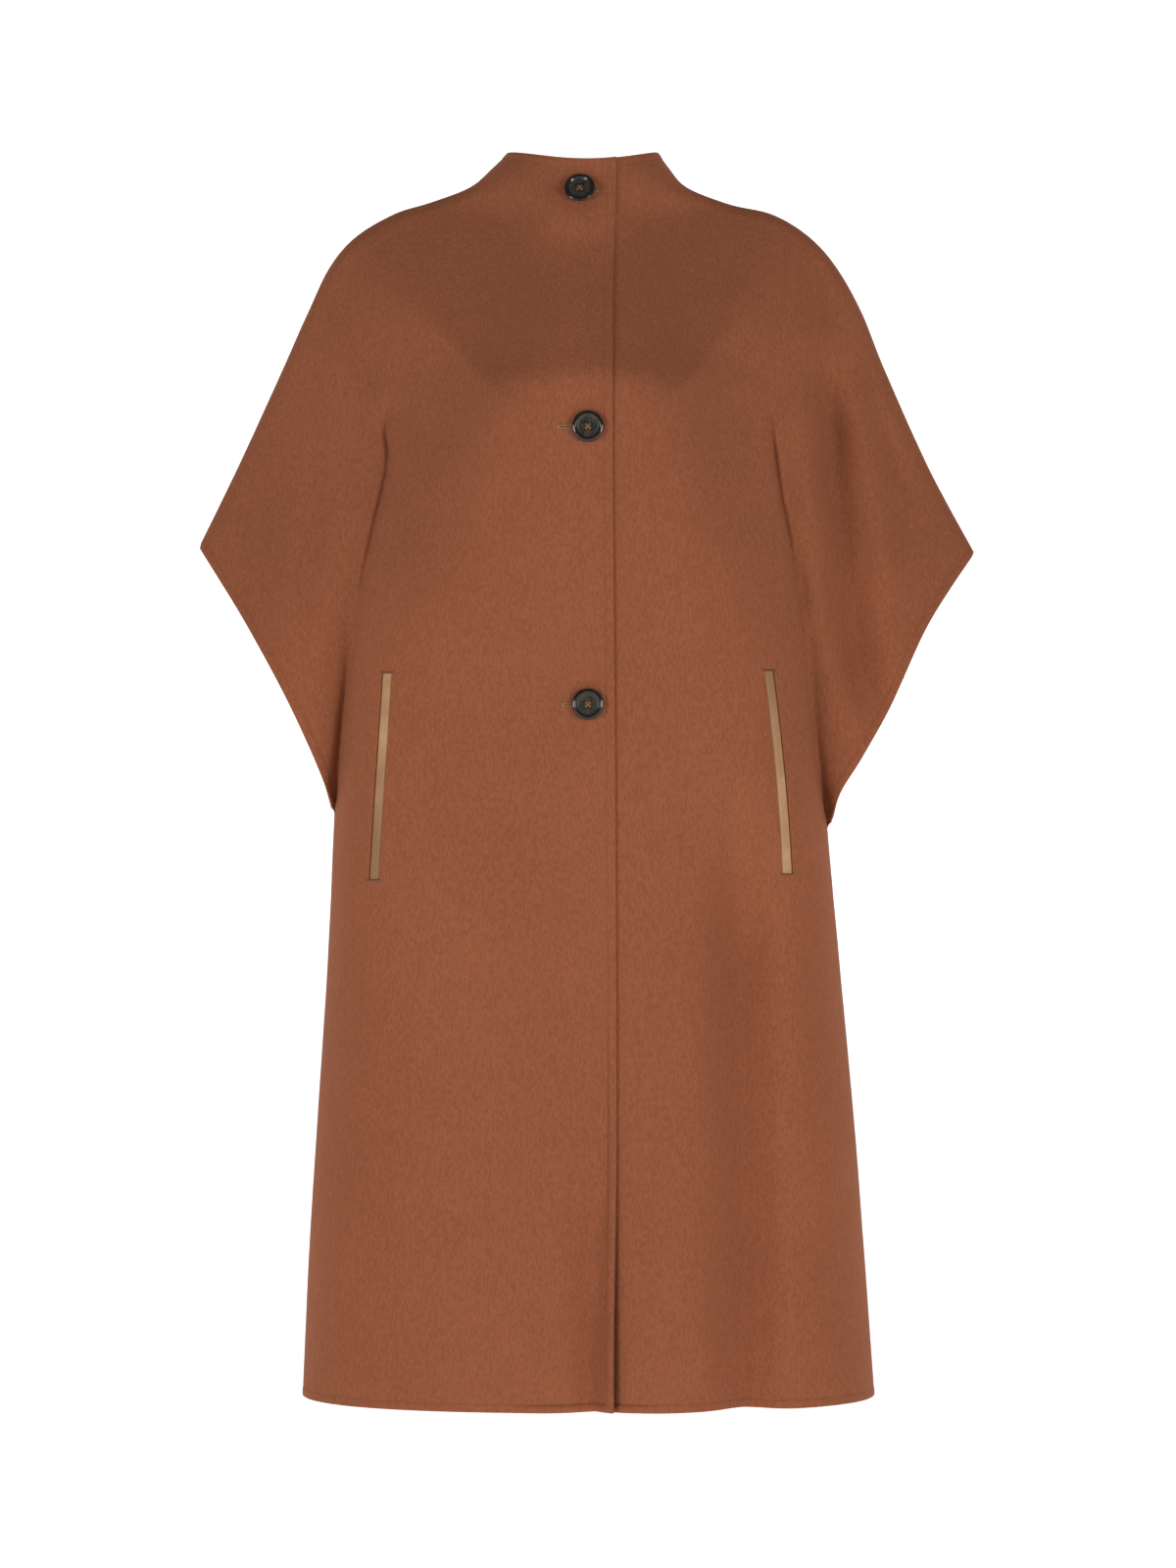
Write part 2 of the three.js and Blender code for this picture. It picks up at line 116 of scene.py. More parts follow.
@dataclass(frozen=True)
class SmoothLine:
    """A Catmull-Rom line through points, read by the part of its length."""

    points: Pairs
    steps: int = 200

    @cached_property
    def lengths(self) -> tuple[np.ndarray, np.ndarray]:
        """How the line's length grows.

        Returns:
            The part of the length reached at even steps through the knots, and those steps.
        """
        t = np.linspace(0, 1, self.steps + 1)
        run = np.linalg.norm(np.diff(self.raw(t), axis=0), axis=1)
        length = np.concatenate([[0], np.cumsum(run)])
        return length / length[-1], t

    def raw(self, along: np.ndarray) -> np.ndarray:
        """Points of the line by its knots.

        Args:
            along: Fractions of the way through the list of knots.

        Returns:
            The points, one row each.
        """
        knots = np.array(self.points, float)
        last = len(knots) - 1
        t = np.clip(along, 0, 1) * last
        i = np.minimum(t.astype(int), last - 1)
        f = (t - i)[..., None]
        a, b = knots[np.maximum(i - 1, 0)], knots[i]
        c, d = knots[i + 1], knots[np.minimum(i + 2, last)]
        v0, v1 = (c - a) / 2, (d - b) / 2
        return (2 * b - 2 * c + v0 + v1) * f**3 + (-3 * b + 3 * c - 2 * v0 - v1) * f**2 + v0 * f + b

    def at(self, part: np.ndarray) -> np.ndarray:
        """Points at the parts of the line's length, one row each."""
        return self.raw(np.interp(part, *self.lengths))


def smoothstep(x: np.ndarray | float, low: float, high: float) -> np.ndarray:
    """A smooth step.

    Args:
        x: Where to read it.
        low: Where it leaves 0.
        high: Where it reaches 1.

    Returns:
        The step's heights, in the shape of x.
    """
    t = np.clip((np.asarray(x, float) - low) / (high - low), 0, 1)
    return t * t * (3 - 2 * t)


def superellipse(ratio: np.ndarray, power: np.ndarray | float) -> np.ndarray:
    """The height of a superellipse of radius 1 at a part of its half width."""
    return (1 - np.minimum(np.abs(ratio), 1) ** power) ** (1 / power)


@dataclass(frozen=True)
class Nearest:
    """The closest points of a path: distance signed by its side (+X), length along it and left of it."""

    signed: np.ndarray
    along: np.ndarray
    left: np.ndarray


def nearest(path: np.ndarray, x: np.ndarray, z: np.ndarray) -> Nearest:
    """Finds the closest point of a path to each point.

    Args:
        path: The path's corners, one row each.
        x: The points' first coordinates.
        z: The points' second coordinates.

    Returns:
        The distances and lengths, in the shape of x.
    """
    best = np.full(np.shape(x), np.inf)
    signed, along = np.zeros(np.shape(x)), np.zeros(np.shape(x))
    length = 0.0
    for (ax, az), (bx, bz) in zip(path[:-1], path[1:]):
        dx, dz = bx - ax, bz - az
        size = math.hypot(dx, dz)
        f = np.clip(((x - ax) * dx + (z - az) * dz) / size**2, 0, 1)
        distance = np.hypot(x - ax - f * dx, z - az - f * dz)
        turn = np.where(dx * (z - az) - dz * (x - ax) < 0, -1.0, 1.0)
        closer = distance < best
        best = np.where(closer, distance, best)
        signed = np.where(closer, turn * distance, signed)
        along = np.where(closer, length + f * size, along)
        length += size
    return Nearest(signed, along, length - along)


# ---- The cape's form, in millimetres ----


@dataclass(frozen=True)
class SideForm:
    """The outline of one of the wearer's sides, as (half width, height) from the collar down."""

    side: Side
    overarm: Pairs
    opening: Pairs
    body: Pairs

    def __post_init__(self) -> None:
        """Works out the sleeve's line and width."""
        object.__setattr__(self, "overarm_line", SmoothLine(self.overarm))
        object.__setattr__(self, "opening_line", SmoothLine(self.opening))
        seam = self.overarm_line.at(np.linspace(0, 1, SEAM_POINTS))
        way = seam[-1] - seam[-4]
        line = np.vstack([seam, seam[-1] + way * PAST_SEAM / np.linalg.norm(way)])
        underarm = np.array(self.opening[-1])
        object.__setattr__(self, "line", line)
        object.__setattr__(self, "seam_length", float(nearest(line, *seam[-1]).along))
        object.__setattr__(self, "sleeve_width", float(abs(nearest(line, *underarm).signed)))
        object.__setattr__(self, "underarm_z", float(underarm[1]))

    def ring_end(self, ring: np.ndarray) -> tuple[np.ndarray, np.ndarray]:
        """Where rings end on this side.

        Args:
            ring: 0 to 1 along the overarm, 1 to 2 along the sleeve's opening, 2 to 3 down the side seam.

        Returns:
            The half widths and the heights.
        """
        over = self.overarm_line.at(np.clip(ring, 0, 1))
        open_edge = self.opening_line.at(np.clip(ring - 1, 0, 1))
        z = self.underarm_z + (HEM_Z - self.underarm_z) * np.clip(ring - 2, 0, 1)
        side = np.stack([Profile(self.body)(z), z], axis=-1)
        end = np.where((ring <= 1)[..., None], over, np.where((ring <= 2)[..., None], open_edge, side))
        return end[..., 0], end[..., 1]


@dataclass(frozen=True)
class Fold:
    """A fold of the cloth down a path of (x, height): a trough, or a ridge where its depth is negative."""

    path: Pairs
    depth: float
    toward_right: float
    toward_left: float
    sharp: float = 0.0
    fade_in: float = 90.0
    fade_out: float = 90.0

    def sunk(self, x: np.ndarray, z: np.ndarray) -> np.ndarray:
        """How deep the fold sinks the cloth.

        Args:
            x: The points' x.
            z: The points' heights.

        Returns:
            The depths, in the shape of x.
        """
        path = np.array(self.path, float)
        if len(path) > 2:
            path = SmoothLine(self.path, steps=60).at(np.linspace(0, 1, FOLD_POINTS))
        near = nearest(path, x, z)
        reach = np.abs(near.signed) / np.where(near.signed < 0, self.toward_right, self.toward_left)
        shape = (1 - self.sharp) * np.exp(-(reach**2)) + self.sharp * np.exp(-1.6 * reach)
        fade = smoothstep(near.along, -1, self.fade_in)
        if self.fade_out > 0:
            fade = fade * smoothstep(near.left, -1, self.fade_out)
        return self.depth * fade * shape


@dataclass(frozen=True)
class FaceForm:
    """The middle of the front or of the back, as (depth, height) from the collar down, and its folds."""

    face: Face
    middle: Pairs
    folds: tuple[Fold, ...]
    tip_z: float = -318.0
    underarm_z: float = -537.0

    @property
    def stops(self) -> list[float]:
        """The heights at the middle of rings 0, 1, 2 and 3."""
        return [self.middle[0][1], self.tip_z, self.underarm_z, HEM_Z]

    def middle_z(self, ring: np.ndarray) -> np.ndarray:
        """The heights of rings at the middle."""
        return np.interp(ring, [0, 1, 2, 3], self.stops)

    def ring_of(self, middle_z: np.ndarray) -> np.ndarray:
        """The rings that pass the middle at heights."""
        return np.interp(middle_z, self.stops[::-1], [3, 2, 1, 0])

    def depth(self, z: np.ndarray) -> np.ndarray:
        """The depth of the middle at heights."""
        return Profile(self.middle)(z)

    def sunk(self, x: np.ndarray, z: np.ndarray) -> np.ndarray:
        """How deep all of the folds sink the cloth at points."""
        return sum((fold.sunk(x, z) for fold in self.folds), np.zeros(np.shape(x)))


@dataclass(frozen=True)
class Place:
    """Points of a surface and the directions there, outwards and to the wearer's left."""

    point: np.ndarray
    out: np.ndarray
    across: np.ndarray


def unit(vectors: np.ndarray) -> np.ndarray:
    """The vectors at length 1."""
    return vectors / np.linalg.norm(vectors, axis=-1, keepdims=True)


@dataclass(frozen=True)
class CapeForm:
    """The filled-out form that all of the cloth follows."""

    right: SideForm
    left: SideForm
    body_power: Pairs = (
        (2.0, -100), (1.9, -140), (2.4, -178), (2.8, -240), (3.3, -340), (3.4, -520), (3.0, -640),
        (2.6, -880), (2.45, HEM_Z),
    )
    sleeve_half: Pairs = ((78, 0), (82, 60), (84, 130), (86, 200), (84, 300), (76, 600))
    sleeve_powers: tuple[float, float] = (3.0, 6.0)
    fillet_power: float = 16.0
    shoulder_round: Pairs = ((32, 0), (16, 25), (11, 60), (11, 900))
    shoulder_slope: tuple[float, float] = (0.85, 0.6)
    slope_reach: tuple[float, float] = (20.0, 110.0)
    steepens: tuple[float, float] = (120.0, 250.0)
    shoulder_power: float = 8.0
    settles: tuple[float, float] = (0.03, 0.17)
    folds_from: tuple[float, float] = (5.0, 30.0)
    least: float = 1e-3
    halvings: int = 40

    def draped_depth(self, face: FaceForm, side: SideForm, x: np.ndarray, z: np.ndarray) -> np.ndarray:
        """The fuller of body and sleeve, under the slope that falls from the shoulder.

        Args:
            face: The front or the back.
            side: The side that the points lie on.
            x: The points' x.
            z: The points' heights.

        Returns:
            The depths, in the shape of x.
        """
        ratio = x / Profile(side.body)(z)
        body = face.depth(z) * superellipse(ratio, Profile(self.body_power)(z))
        near = nearest(side.line, np.abs(x), z)
        across = np.minimum(np.abs(near.signed) / side.sleeve_width, 1)
        half = Profile(self.sleeve_half)(np.maximum(side.seam_length - near.along, 0))
        sleeve = half * superellipse(2 * across - 1, np.where(across < 0.5, *self.sleeve_powers))
        fullest = (body**self.fillet_power + sleeve**self.fillet_power) ** (1 / self.fillet_power)
        drop = np.abs(near.signed)
        bend = Profile(self.shoulder_round)(near.along)
        middle, outer = self.shoulder_slope
        slope = middle + (outer - middle) * smoothstep(np.abs(x), *self.slope_reach)
        beyond, radius = self.steepens
        top = bend * np.sqrt(1 - (1 - np.minimum(drop / bend, 1)) ** 2) + slope * drop
        top = top + np.maximum(drop - beyond, 0) ** 2 / radius
        power = self.shoulder_power
        fullest, top = np.maximum(fullest, self.least), np.maximum(top, self.least)
        return (fullest**-power + top**-power) ** (-1 / power)

    def points(self, face: FaceForm, ring: np.ndarray, turn: np.ndarray) -> np.ndarray:
        """Points of the outer surface.

        Args:
            face: The front or the back.
            ring: Rings, 0 at the collar's edge to 3 at the hem.
            turn: The angles round them, from minus a quarter turn at the wearer's right seam to a quarter.

        Returns:
            The points, with x, y and z last.
        """
        ring, turn = np.broadcast_arrays(ring, turn)
        sine = np.abs(np.sin(turn))
        middle = face.middle_z(ring)
        result = np.zeros(ring.shape + (3,))
        for side in (self.right, self.left):
            mine = (turn < 0) if side.side is Side.RIGHT else (turn >= 0)
            end_x, end_z = side.ring_end(ring)
            x = side.side.value * end_x * sine
            z = middle + (end_z - middle) * sine**2
            plain = face.depth(middle) * superellipse(sine, 2)
            depth = plain + (self.draped_depth(face, side, x, z) - plain) * smoothstep(ring, *self.settles)
            depth = depth - face.sunk(x, z) * smoothstep(depth, *self.folds_from)
            at_seam = (sine > AT_SEAM) & ((ring <= 1) | (ring >= 2))
            y = face.face.value * (np.where(at_seam, 0, depth) + SEAM_HALF_GAP)
            result[mine] = np.stack([x, y, z], axis=-1)[mine]
        return result

    def turn_at(self, x: np.ndarray, ring: np.ndarray) -> np.ndarray:
        """The angles on rings at which the cloth has these x.

        Args:
            x: The x to meet.
            ring: The rings.

        Returns:
            The angles.
        """
        right, _ = self.right.ring_end(ring)
        left, _ = self.left.ring_end(ring)
        return np.arcsin(np.clip(x / np.where(x < 0, right, left), -1, 1))

    def ring_at(self, face: FaceForm, x: np.ndarray, z: np.ndarray) -> np.ndarray:
        """The rings that pass through points, found by halving.

        Args:
            face: The front or the back.
            x: The points' x.
            z: The points' heights.

        Returns:
            The rings, in the shape of x.
        """
        low, high = np.zeros(np.shape(x)), np.full(np.shape(x), 3.0)
        for _ in range(self.halvings):
            ring = (low + high) / 2
            end_z = np.where(x < 0, self.right.ring_end(ring)[1], self.left.ring_end(ring)[1])
            middle = face.middle_z(ring)
            above = middle + (end_z - middle) * np.sin(self.turn_at(x, ring)) ** 2 > z
            low, high = np.where(above, ring, low), np.where(above, high, ring)
        return (low + high) / 2

    def normals(self, face: FaceForm, across: np.ndarray, down: np.ndarray) -> np.ndarray:
        """Outward directions from the directions across (+X) and down the cloth."""
        return unit(np.cross(down, across)) * -face.face.value

    def place(self, face: FaceForm, x: np.ndarray, z: np.ndarray) -> Place:
        """The surface at points.

        Args:
            face: The front or the back.
            x: The points' x, one or many.
            z: The points' heights, one or many.

        Returns:
            The points and the directions there.
        """
        x, z = np.broadcast_arrays(np.asarray(x, float), np.asarray(z, float))
        step = 1e-3
        ring = self.ring_at(face, x, z)
        turn = self.turn_at(x, ring)
        across = unit(self.points(face, ring, turn + step) - self.points(face, ring, turn - step))
        down = unit(self.points(face, ring + step, turn) - self.points(face, ring - step, turn))
        return Place(self.points(face, ring, turn), self.normals(face, across, down), across)


# ---- The cloth ----


@dataclass(frozen=True)
class TurnedEdge:
    """An edge turned in and pressed: a slightly raised band that ends in a groove."""

    band: float = 7.2
    rise: float = 1.2
    groove: float = 0.9
    groove_width: float = 1.2
    columns: tuple[float, ...] = (1.3, 2.8, 4.4, 5.6, 6.4, 7.2, 8.0, 9.0, 10.4, 12.6)
    faint: float = 0.2
    full_below: tuple[float, float] = (-560.0, -900.0)
    fades_beside: tuple[float, float] = (40.0, 70.0)

    def relief(self, distance: np.ndarray, x: np.ndarray, z: np.ndarray) -> np.ndarray:
        """How far the cloth stands off its form, which is most low down at the front opening.

        Args:
            distance: How far the points lie from the edge.
            x: Their x.
            z: Their heights.

        Returns:
            The rises, in the shape of distance.
        """
        part = np.clip(distance / self.band, 0, 1)
        raised = self.rise * np.sqrt(np.maximum(0, 4 * part * (1 - part)))
        sunk = self.groove * np.exp(-(((distance - self.band) / self.groove_width) ** 2))
        low = smoothstep(-z, -self.full_below[0], -self.full_below[1])
        low = low * (1 - smoothstep(np.abs(x), *self.fades_beside))
        return (raised - sunk) * (self.faint + (1 - self.faint) * low)


@dataclass(frozen=True)
class Lap:
    """How the right front lies over the left one down the middle."""

    edge: Pairs = ((25, 35), (21.5, -115), (24, -500), (26.5, HEM_Z))
    under: float = 32.0
    blend: float = 45.0
    lift: float = 2.3
    opens: float = 6.0
    opens_from: float = -760.0

    def rise(self, points: np.ndarray) -> np.ndarray:
        """How far the right front is lifted.

        Args:
            points: Points of the form, with x, y and z last.

        Returns:
            The rise at each.
        """
        x, z = points[..., 0], points[..., 2]
        lies = smoothstep(x, -self.under - self.blend, -self.under)
        opens = smoothstep(-z, -self.opens_from, -HEM_Z) * smoothstep(x, -self.under, self.under)
        return self.lift * lies + self.opens * opens


@dataclass(frozen=True)
class Handle:
    """The small unevenness of soft cloth, and how each button draws it in."""

    sizes: tuple[float, float] = (95.0, 31.0)
    rises: tuple[float, float] = (0.8, 0.16)
    drop: float = 1.7
    dimple: float = 0.9
    dimple_radius: float = 21.0
    dimples: Pairs = ()

    def rise(self, points: np.ndarray) -> np.ndarray:
        """How far the cloth stands off its form.

        Args:
            points: Points of the form, with x, y and z last.

        Returns:
            The rise at each.
        """
        flat = points.reshape(-1, 3)
        total = np.zeros(len(flat))
        for size, rise in zip(self.sizes, self.rises):
            scaled = flat / (size, size, size * self.drop)
            total += rise * np.array([noise.noise(Vector(p)) for p in scaled])
        for x, z in self.dimples:
            away = np.hypot(flat[:, 0] - x, flat[:, 2] - z)
            total -= self.dimple * np.exp(-((away / self.dimple_radius) ** 2))
        return total.reshape(points.shape[:-1])


@dataclass(frozen=True)
class Pocket:
    """A slanting welt pocket on one front, between two points of (x, height), its line bowed sideways."""

    top: tuple[float, float]
    bottom: tuple[float, float]
    bow: float = 0.0
    half_width: float = 5.2

    def x_at(self, z: np.ndarray) -> np.ndarray:
        """The x of the slit's middle line at heights."""
        part = (z - self.top[1]) / (self.bottom[1] - self.top[1])
        return self.top[0] + (self.bottom[0] - self.top[0]) * part + 4 * self.bow * part * (1 - part)


@dataclass(frozen=True)
class Buttoning:
    """One button and its hole on the lap: the button's (x, height), and where the hole ends beside it."""

    name: str
    at: tuple[float, float]
    hole: tuple[float, float]
    hole_half: float = 0.42


@dataclass(frozen=True)
class Panel:
    """One cut piece of the cape, as a closed wall of cloth."""

    name: str
    node: str
    form: CapeForm
    face: FaceForm
    handle: Handle
    flat: tuple[float, float]
    area: float
    row_step: float = 4.1
    edge: TurnedEdge = TurnedEdge()
    rim_round: float = 0.75
    rim_segments: int = 3

    def kept_heights(self) -> list[float]:
        """Heights at the middle that rows have to pass: the turned edges' own."""
        top = self.face.middle[0][1]
        return [top, *(top - d for d in self.edge.columns), *(HEM_Z + d for d in self.edge.columns), HEM_Z]

    def rings(self) -> np.ndarray:
        """Spreads the rows through every kept height and evenly between.

        Returns:
            The rows' rings.
        """
        kept = sorted(set(self.kept_heights()), reverse=True)
        rows = [kept[0]]
        for high, low in zip(kept[:-1], kept[1:]):
            count = max(1, round((high - low) / self.row_step))
            rows += [high + (low - high) * (i + 1) / count for i in range(count)]
        return self.face.ring_of(np.array(rows))

    def turns(self, ring: np.ndarray) -> np.ndarray:
        """The columns' angles on each row."""
        raise NotImplementedError

    def lift(self, points: np.ndarray) -> np.ndarray:
        """How far this panel lies off the form."""
        return self.handle.rise(points)

    def edges(self, base: np.ndarray, ring: np.ndarray) -> list[np.ndarray]:
        """The turned edges as rows of points."""
        return [base[0], base[-1]]

    def openings(self, base: np.ndarray, ring: np.ndarray) -> np.ndarray:
        """Which cells of the grid are open, by row and column."""
        return np.zeros((base.shape[0] - 1, base.shape[1] - 1), bool)

    def edge_distance(self, base: np.ndarray, ring: np.ndarray) -> np.ndarray:
        """How far each point lies from the nearest turned edge.

        Args:
            base: The grid's points on the form.
            ring: Its rows' rings.

        Returns:
            The distances, by row and column.
        """
        dense = []
        for line in self.edges(base, ring):
            run = np.concatenate([[0], np.cumsum(np.linalg.norm(np.diff(line, axis=0), axis=1))])
            at = np.linspace(0, run[-1], int(run[-1] * 2) + 2)
            dense.append(np.stack([np.interp(at, run, line[:, k]) for k in range(3)], axis=-1))
        points = np.concatenate(dense)
        tree = KDTree(len(points))
        for i, p in enumerate(points):
            tree.insert(p, i)
        tree.balance()
        return np.array([tree.find(p)[2] for p in base.reshape(-1, 3)]).reshape(base.shape[:-1])

    def walls(self) -> tuple[np.ndarray, np.ndarray, np.ndarray, np.ndarray]:
        """The grid of the cloth.

        Returns:
            The outer points, the inner points, the distances from the turned edges and the open cells.
        """
        ring = self.rings()
        turn = self.turns(ring)
        base = self.form.points(self.face, ring[:, None], turn)
        normals = self.form.normals(self.face, np.gradient(base, axis=1), np.gradient(base, axis=0))
        seam = (np.abs(np.sin(turn)) > AT_SEAM) & ((ring <= 1) | (ring >= 2))[:, None]
        normals[..., 1] = np.where(seam, 0, normals[..., 1])
        normals = unit(normals)
        distance = self.edge_distance(base, ring)
        lift = self.lift(base)
        outer = base + normals * (lift + self.edge.relief(distance, base[..., 0], base[..., 2]))[..., None]
        inner = base + normals * (lift - CLOTH_THICKNESS)[..., None]
        return outer, inner, distance, self.openings(base, ring)

    def build(self, finish: "Finish") -> bpy.types.Object:
        """Makes the panel as a piece.

        Args:
            finish: The cloth's finish.

        Returns:
            The piece, which stands for the panel's solid.
        """
        outer, inner, distance, opened = self.walls()
        rows, columns = distance.shape
        bm = bmesh.new()
        bmesh.ops.create_grid(bm, x_segments=columns - 1, y_segments=rows - 1, size=1)
        cell = bm.verts.layers.int.new("cell")
        wall = bm.verts.layers.int.new("wall")
        edge = bm.verts.layers.float.new("edge_mm")
        for v in bm.verts:
            i, j = round((v.co.x + 1) / 2 * (columns - 1)), round((1 - v.co.y) / 2 * (rows - 1))
            v[cell] = j * columns + i
            v[edge] = distance[j, i]
        holes = [f for f in bm.faces if opened[divmod(min(v[cell] for v in f.verts), columns)]]
        bmesh.ops.delete(bm, geom=holes, context="FACES")
        grown = bmesh.ops.extrude_face_region(bm, geom=bm.faces[:], use_keep_orig=True)["geom"]
        for v in grown:
            if isinstance(v, bmesh.types.BMVert):
                v[wall] = 1
        both = (outer.reshape(-1, 3) * MM, inner.reshape(-1, 3) * MM)
        for v in bm.verts:
            v.co = both[v[wall]][v[cell]]
        bmesh.ops.recalc_face_normals(bm, faces=bm.faces)
        mixed = {f for f in bm.faces if len({v[wall] for v in f.verts}) == 2}
        on_one_wall = (e for e in bm.edges if e.verts[0][wall] == e.verts[1][wall])
        rim = [e for e in on_one_wall if any(f in mixed for f in e.link_faces)]
        bmesh.ops.bevel(
            bm, geom=rim, offset=self.rim_round * MM, offset_type="OFFSET", segments=self.rim_segments,
            profile=0.5, affect="EDGES", clamp_overlap=True, material=-1,
        )
        piece = finished(bm, self.name, finish)
        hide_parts(self.node)
        return piece


@dataclass(frozen=True)
class BackPanel(Panel):
    """The back, whole from seam to seam."""

    column_count: int = 160

    def turns(self, ring: np.ndarray) -> np.ndarray:
        """The columns' angles, evenly round the back."""
        even = np.linspace(-math.pi / 2, math.pi / 2, self.column_count)
        return np.broadcast_to(even, (len(ring), self.column_count))

    def edges(self, base: np.ndarray, ring: np.ndarray) -> list[np.ndarray]:
        """The collar's edge, the hem and both sleeves' openings."""
        mouth = (ring >= 1) & (ring <= 2)
        return [base[0], base[-1], base[mouth, 0], base[mouth, -1]]


@dataclass(frozen=True)
class FrontPanel(Panel):
    """A front, from its side seam to its edge on the lap, with its pocket's slit."""

    side: Side = Side.RIGHT
    lap: Lap = Lap()
    pocket: Pocket | None = None
    buttons: tuple[Buttoning, ...] = ()
    crease: Pairs = ()
    crease_most: float = 74.0
    crease_offsets: tuple[float, ...] = (-8, -5.6, -3.7, -2.2, -1.0, 0, 1.0, 2.2, 3.7, 5.6, 8)
    outer_columns: int = 34
    between_columns: int = 10
    slit_columns: int = 4
    inner_columns: int = 54
    beside_hole: float = 1.4
    crease_tries: int = 6
    slit_tries: int = 4

    def slit_rings(self) -> np.ndarray:
        """The rings of the slit's two ends."""
        ends = np.array([self.pocket.top, self.pocket.bottom])
        return self.form.ring_at(self.face, ends[:, 0], ends[:, 1])

    def kept_heights(self) -> list[float]:
        """Heights of rows for the edges, the slit's ends and the buttonholes.

        Returns:
            The heights at the middle.
        """
        heights = super().kept_heights() + list(self.face.middle_z(self.slit_rings()))
        for button in self.buttons:
            z, half = button.at[1], button.hole_half
            heights += [z + half + self.beside_hole, z + half, z - half, z - half - self.beside_hole]
        return heights

    def crease_turns(self, ring: np.ndarray) -> list[np.ndarray]:
        """The angles of columns on and close beside the sleeve's crease, held beyond its ends.

        Args:
            ring: The rows.

        Returns:
            Each column's angles, from the seam's side on.
        """
        ends = np.array([self.crease[0], self.crease[-1]], float)
        held = np.clip(ring, *self.form.ring_at(self.face, ends[:, 0], ends[:, 1]))
        path = SmoothLine(self.crease).at(np.linspace(0, 1, CREASE_POINTS))
        z = self.face.middle_z(held)
        for _ in range(self.crease_tries):
            x = np.interp(-z, -path[:, 1], path[:, 0])
            turn = self.form.turn_at(x, held)
            z = self.form.points(self.face, held, turn)[:, 2]
        most = math.radians(self.crease_most)
        turn = np.clip(turn, -most, most)
        end_x = np.abs(x / np.sin(turn))
        return [turn - self.side.value * offset / (end_x * np.cos(turn)) for offset in self.crease_offsets]

    def slit_turns(self, ring: np.ndarray) -> tuple[np.ndarray, np.ndarray]:
        """The angles of the slit's edges, towards the seam and the middle.

        Args:
            ring: The rows. Above the slit its columns keep their share of the way to the crease, and below
                it their own angle.

        Returns:
            The angles of the two edges.
        """
        held = np.clip(ring, *self.slit_rings())
        z = self.face.middle_z(held)
        for _ in range(self.slit_tries):
            x = self.pocket.x_at(z)
            turn = self.form.turn_at(x, held)
            z = self.form.points(self.face, held, turn)[:, 2]
        here = self.form.place(self.face, x, z)
        reach = self.pocket.half_width * np.abs(here.across[:, 0])
        middle = len(self.crease_offsets) // 2
        share = self.crease_turns(ring)[middle] / self.crease_turns(held)[middle]
        share = np.where(ring < held, share, 1)
        sign = self.side.value
        return tuple(share * self.form.turn_at(x + way * sign * reach, held) for way in (1, -1))

    def turns(self, ring: np.ndarray) -> np.ndarray:
        """The columns' angles, from the seam over the crease and the slit to the lap.

        Args:
            ring: The rows.

        Returns:
            The angles, by row and column.
        """
        far, near = self.slit_turns(ring)
        crease = self.crease_turns(ring)
        seam = np.full(len(ring), self.side.value * math.pi / 2)
        if self.side is Side.RIGHT:
            edge = Profile(self.lap.edge)(self.face.middle_z(ring))
            last = [self.form.turn_at(edge - d, ring) for d in (*self.edge.columns[::-1], 0)]
        else:
            last = [self.form.turn_at(np.full(len(ring), -self.lap.under), ring)]
        stops = [(seam, crease[0], self.outer_columns), *((a, b, 1) for a, b in zip(crease[:-1], crease[1:])),
                 (crease[-1], far, self.between_columns), (far, near, self.slit_columns),
                 (near, last[0], self.inner_columns)]
        columns = [a + (b - a) * i / count for a, b, count in stops for i in range(count)] + last
        if self.side is Side.LEFT:
            columns = columns[::-1]
        return np.stack(columns, axis=-1)

    def lift(self, points: np.ndarray) -> np.ndarray:
        """How far this front lies off the form."""
        return self.handle.rise(points) + (self.lap.rise(points) if self.side is Side.RIGHT else 0)

    def edges(self, base: np.ndarray, ring: np.ndarray) -> list[np.ndarray]:
        """The collar's edge, the hem, the sleeve's opening and, on the upper front, its edge.

        Args:
            base: The grid's points on the form.
            ring: Its rows' rings.

        Returns:
            Each edge as a row of points.
        """
        mouth = (ring >= 1) & (ring <= 2)
        if self.side is Side.RIGHT:
            return [base[0], base[-1], base[mouth, 0], base[:, -1]]
        return [base[0], base[-1], base[mouth, -1]]

    def openings(self, base: np.ndarray, ring: np.ndarray) -> np.ndarray:
        """Which cells the pocket's slit and the buttonholes leave open.

        Args:
            base: The grid's points on the form.
            ring: Its rows' rings.

        Returns:
            True for each open cell, by row and column.
        """
        opened = super().openings(base, ring)
        top, bottom = np.searchsorted(ring, self.slit_rings() - ROW_MARGIN)
        first = self.outer_columns + len(self.crease_offsets) - 1 + self.between_columns
        cells = slice(first, first + self.slit_columns)
        if self.side is Side.LEFT:
            cells = slice(opened.shape[1] - cells.stop, opened.shape[1] - cells.start)
        opened[top:bottom, cells] = True
        for button in self.buttons:
            row = np.searchsorted(ring, self.face.ring_of(button.at[1] + button.hole_half) - ROW_MARGIN)
            x = (base[row, :-1, 0] + base[row, 1:, 0]) / 2 - button.at[0]
            opened[row, (x > button.hole[0]) & (x < button.hole[1])] = True
        return opened

    def surface(self, x: np.ndarray, z: np.ndarray) -> Place:
        """This front's outer surface.

        Args:
            x: The points' x, one or many.
            z: The points' heights, one or many.

        Returns:
            The points and the directions there.
        """
        place = self.form.place(self.face, x, z)
        point = place.point + place.out * self.lift(place.point)[..., None]
        return Place(point, place.out, place.across)


# ---- Making pieces ----


